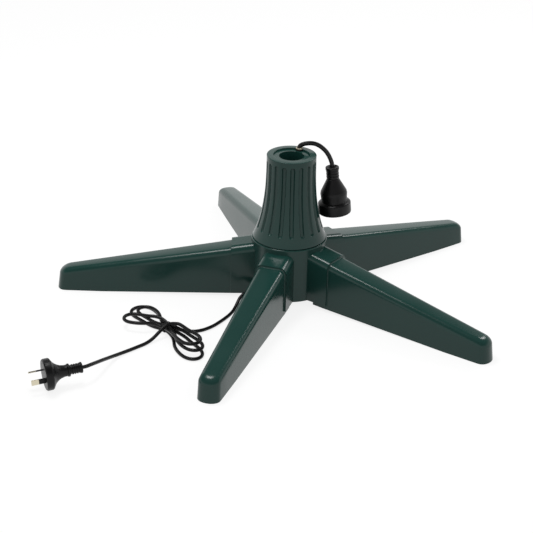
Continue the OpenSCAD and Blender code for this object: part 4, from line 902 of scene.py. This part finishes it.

# %% [markdown]
# The record of the model names a finish for each solid, so those are dressed in one loop. The new
# pieces follow, each with the slot that is named for it here.

# %% Put the finishes on every solid and every new piece
slots = {part["node"]: part["material_slot"] for part in frame["record"]["subparts"]}
to_dress = [(solid, slots[name]) for name, solid in nodes.items()]
to_dress += [(socket_lead, "black_cord"), (mains_lead, "black_cord"), (tower_shell, "green"),
             (socket_body, "black_moulding"), (plug_body, "black_moulding"),
             (lead_bush, "black_rubber"), (hank_tie, "black_moulding")]
to_dress += [(piece, "green") for piece in leg_pieces]
for piece, slot in to_dress:
    piece.data.materials.clear()
    piece.data.materials.append(finishes[slot])
print("dressed:", len(nodes), "solids and", len(to_dress) - len(nodes), "new pieces")

# %% [markdown]
# ## Floor and light
#
# The picture was taken on a white sweep that is lit evenly, so the background is plain white.
# The floor here gets a share of its white as its own glow, seen by the camera and in gloss,
# and the rest from the lamps, so that it still shows the stand's soft shadow. Light Path tells
# which kind of ray has met the surface.

# %% The floor
FLOOR_HALF, FLOOR_DROP = 6, 0.0002
FLOOR_GREY, FLOOR_GLOW = 0.2, 0.84
edge = FLOOR_HALF
floor = mesh_piece("floor", [(-edge, -edge, 0), (edge, -edge, 0), (edge, edge, 0),
                             (-edge, edge, 0)], [(0, 1, 2, 3)])
floor.location.z = -FLOOR_DROP
floor_material = bpy.data.materials.new("white sweep")
floor_material.use_nodes = True
tree = floor_material.node_tree
shader = tree.nodes["Principled BSDF"]
shader.inputs["Base Color"].default_value = (FLOOR_GREY, FLOOR_GREY, FLOOR_GREY, 1)
shader.inputs["Roughness"].default_value = 1.0
shader.inputs["Specular IOR Level"].default_value = 0.0
shader.inputs["Emission Color"].default_value = (1, 1, 1, 1)


def seen_directly(tree):
    rays = tree.nodes.new("ShaderNodeLightPath")
    first, second = tree.nodes.new("ShaderNodeMath"), tree.nodes.new("ShaderNodeMath")
    first.operation = second.operation = "MAXIMUM"
    tree.links.new(rays.outputs["Is Camera Ray"], first.inputs[0])
    tree.links.new(rays.outputs["Is Glossy Ray"], first.inputs[1])
    tree.links.new(first.outputs[0], second.inputs[0])
    tree.links.new(rays.outputs["Is Transmission Ray"], second.inputs[1])
    return second.outputs[0]


glow = tree.nodes.new("ShaderNodeMath")
glow.operation = "MULTIPLY"
glow.inputs[1].default_value = FLOOR_GLOW
tree.links.new(seen_directly(tree), glow.inputs[0])
tree.links.new(glow.outputs[0], shader.inputs["Emission Strength"])
floor.data.materials.append(floor_material)
print("floor:", 2 * FLOOR_HALF, "m square")

# %% [markdown]
# The world is the studio's room. It gives an even, modest light to every surface. The camera sees
# it plain white, and gloss sees a sweep that is white up to a third of the way to the zenith and
# a darker ceiling above it, which is what makes the green look glossy.

# %% The room
ROOM_LIGHT = 0.6
world = bpy.data.worlds.new("room")
bpy.context.scene.world = world
world.use_nodes = True
tree = world.node_tree
backdrop = tree.nodes["Background"]
backdrop.inputs["Color"].default_value = (1, 1, 1, 1)
room = tree.nodes.new("ShaderNodeBackground")
room.inputs["Color"].default_value = (1, 1, 1, 1)
room.inputs["Strength"].default_value = ROOM_LIGHT
direction = tree.nodes.new("ShaderNodeTexCoord")
parts = tree.nodes.new("ShaderNodeSeparateXYZ")
sweep = tree.nodes.new("ShaderNodeMapRange")
sweep.interpolation_type = "SMOOTHSTEP"
for socket, value in (("From Min", 0.26), ("From Max", 0.64), ("To Min", 1.0), ("To Max", 0.15)):
    sweep.inputs[socket].default_value = value
rays = tree.nodes.new("ShaderNodeLightPath")
bright = tree.nodes.new("ShaderNodeMath")
bright.operation = "MAXIMUM"
choose = tree.nodes.new("ShaderNodeMixShader")
tree.links.new(direction.outputs["Generated"], parts.inputs[0])
tree.links.new(parts.outputs["Z"], sweep.inputs["Value"])
tree.links.new(sweep.outputs["Result"], bright.inputs[0])
tree.links.new(rays.outputs["Is Camera Ray"], bright.inputs[1])
tree.links.new(bright.outputs[0], backdrop.inputs["Strength"])
tree.links.new(seen_directly(tree), choose.inputs["Fac"])
tree.links.new(room.outputs[0], choose.inputs[1])
tree.links.new(backdrop.outputs[0], choose.inputs[2])
tree.links.new(choose.outputs[0], tree.nodes["World Output"].inputs["Surface"])
print("room light:", ROOM_LIGHT)

# %% [markdown]
# Two softboxes hang high up, one overhead and one behind on the right. A polished edge mirrors a
# lamp at one place only, so the bright lines on the legs' rounded edges tell where the lamps are:
# the line of sight, mirrored in the edge, points at the lamp.

# %% The softboxes
AIM = (0, 0, 0.05)


def softbox(name, at_point, size, watts):
    data = bpy.data.lights.new(name, "AREA")
    data.shape = "RECTANGLE"
    data.size, data.size_y = size
    data.energy = watts
    lamp = bpy.data.objects.new(name, data)
    bpy.context.scene.collection.objects.link(lamp)
    lamp.location = at_point
    lamp.rotation_euler = (Vector(AIM) - Vector(at_point)).to_track_quat("-Z", "Y").to_euler()


softbox("softbox_over", (-0.39, 0.1, 1.5), (0.46, 0.38), 7.5)
softbox("softbox_back", (1.07, 0.99, 1.27), (0.32, 0.36), 4.2)
bpy.context.scene.view_settings.view_transform = "Standard"
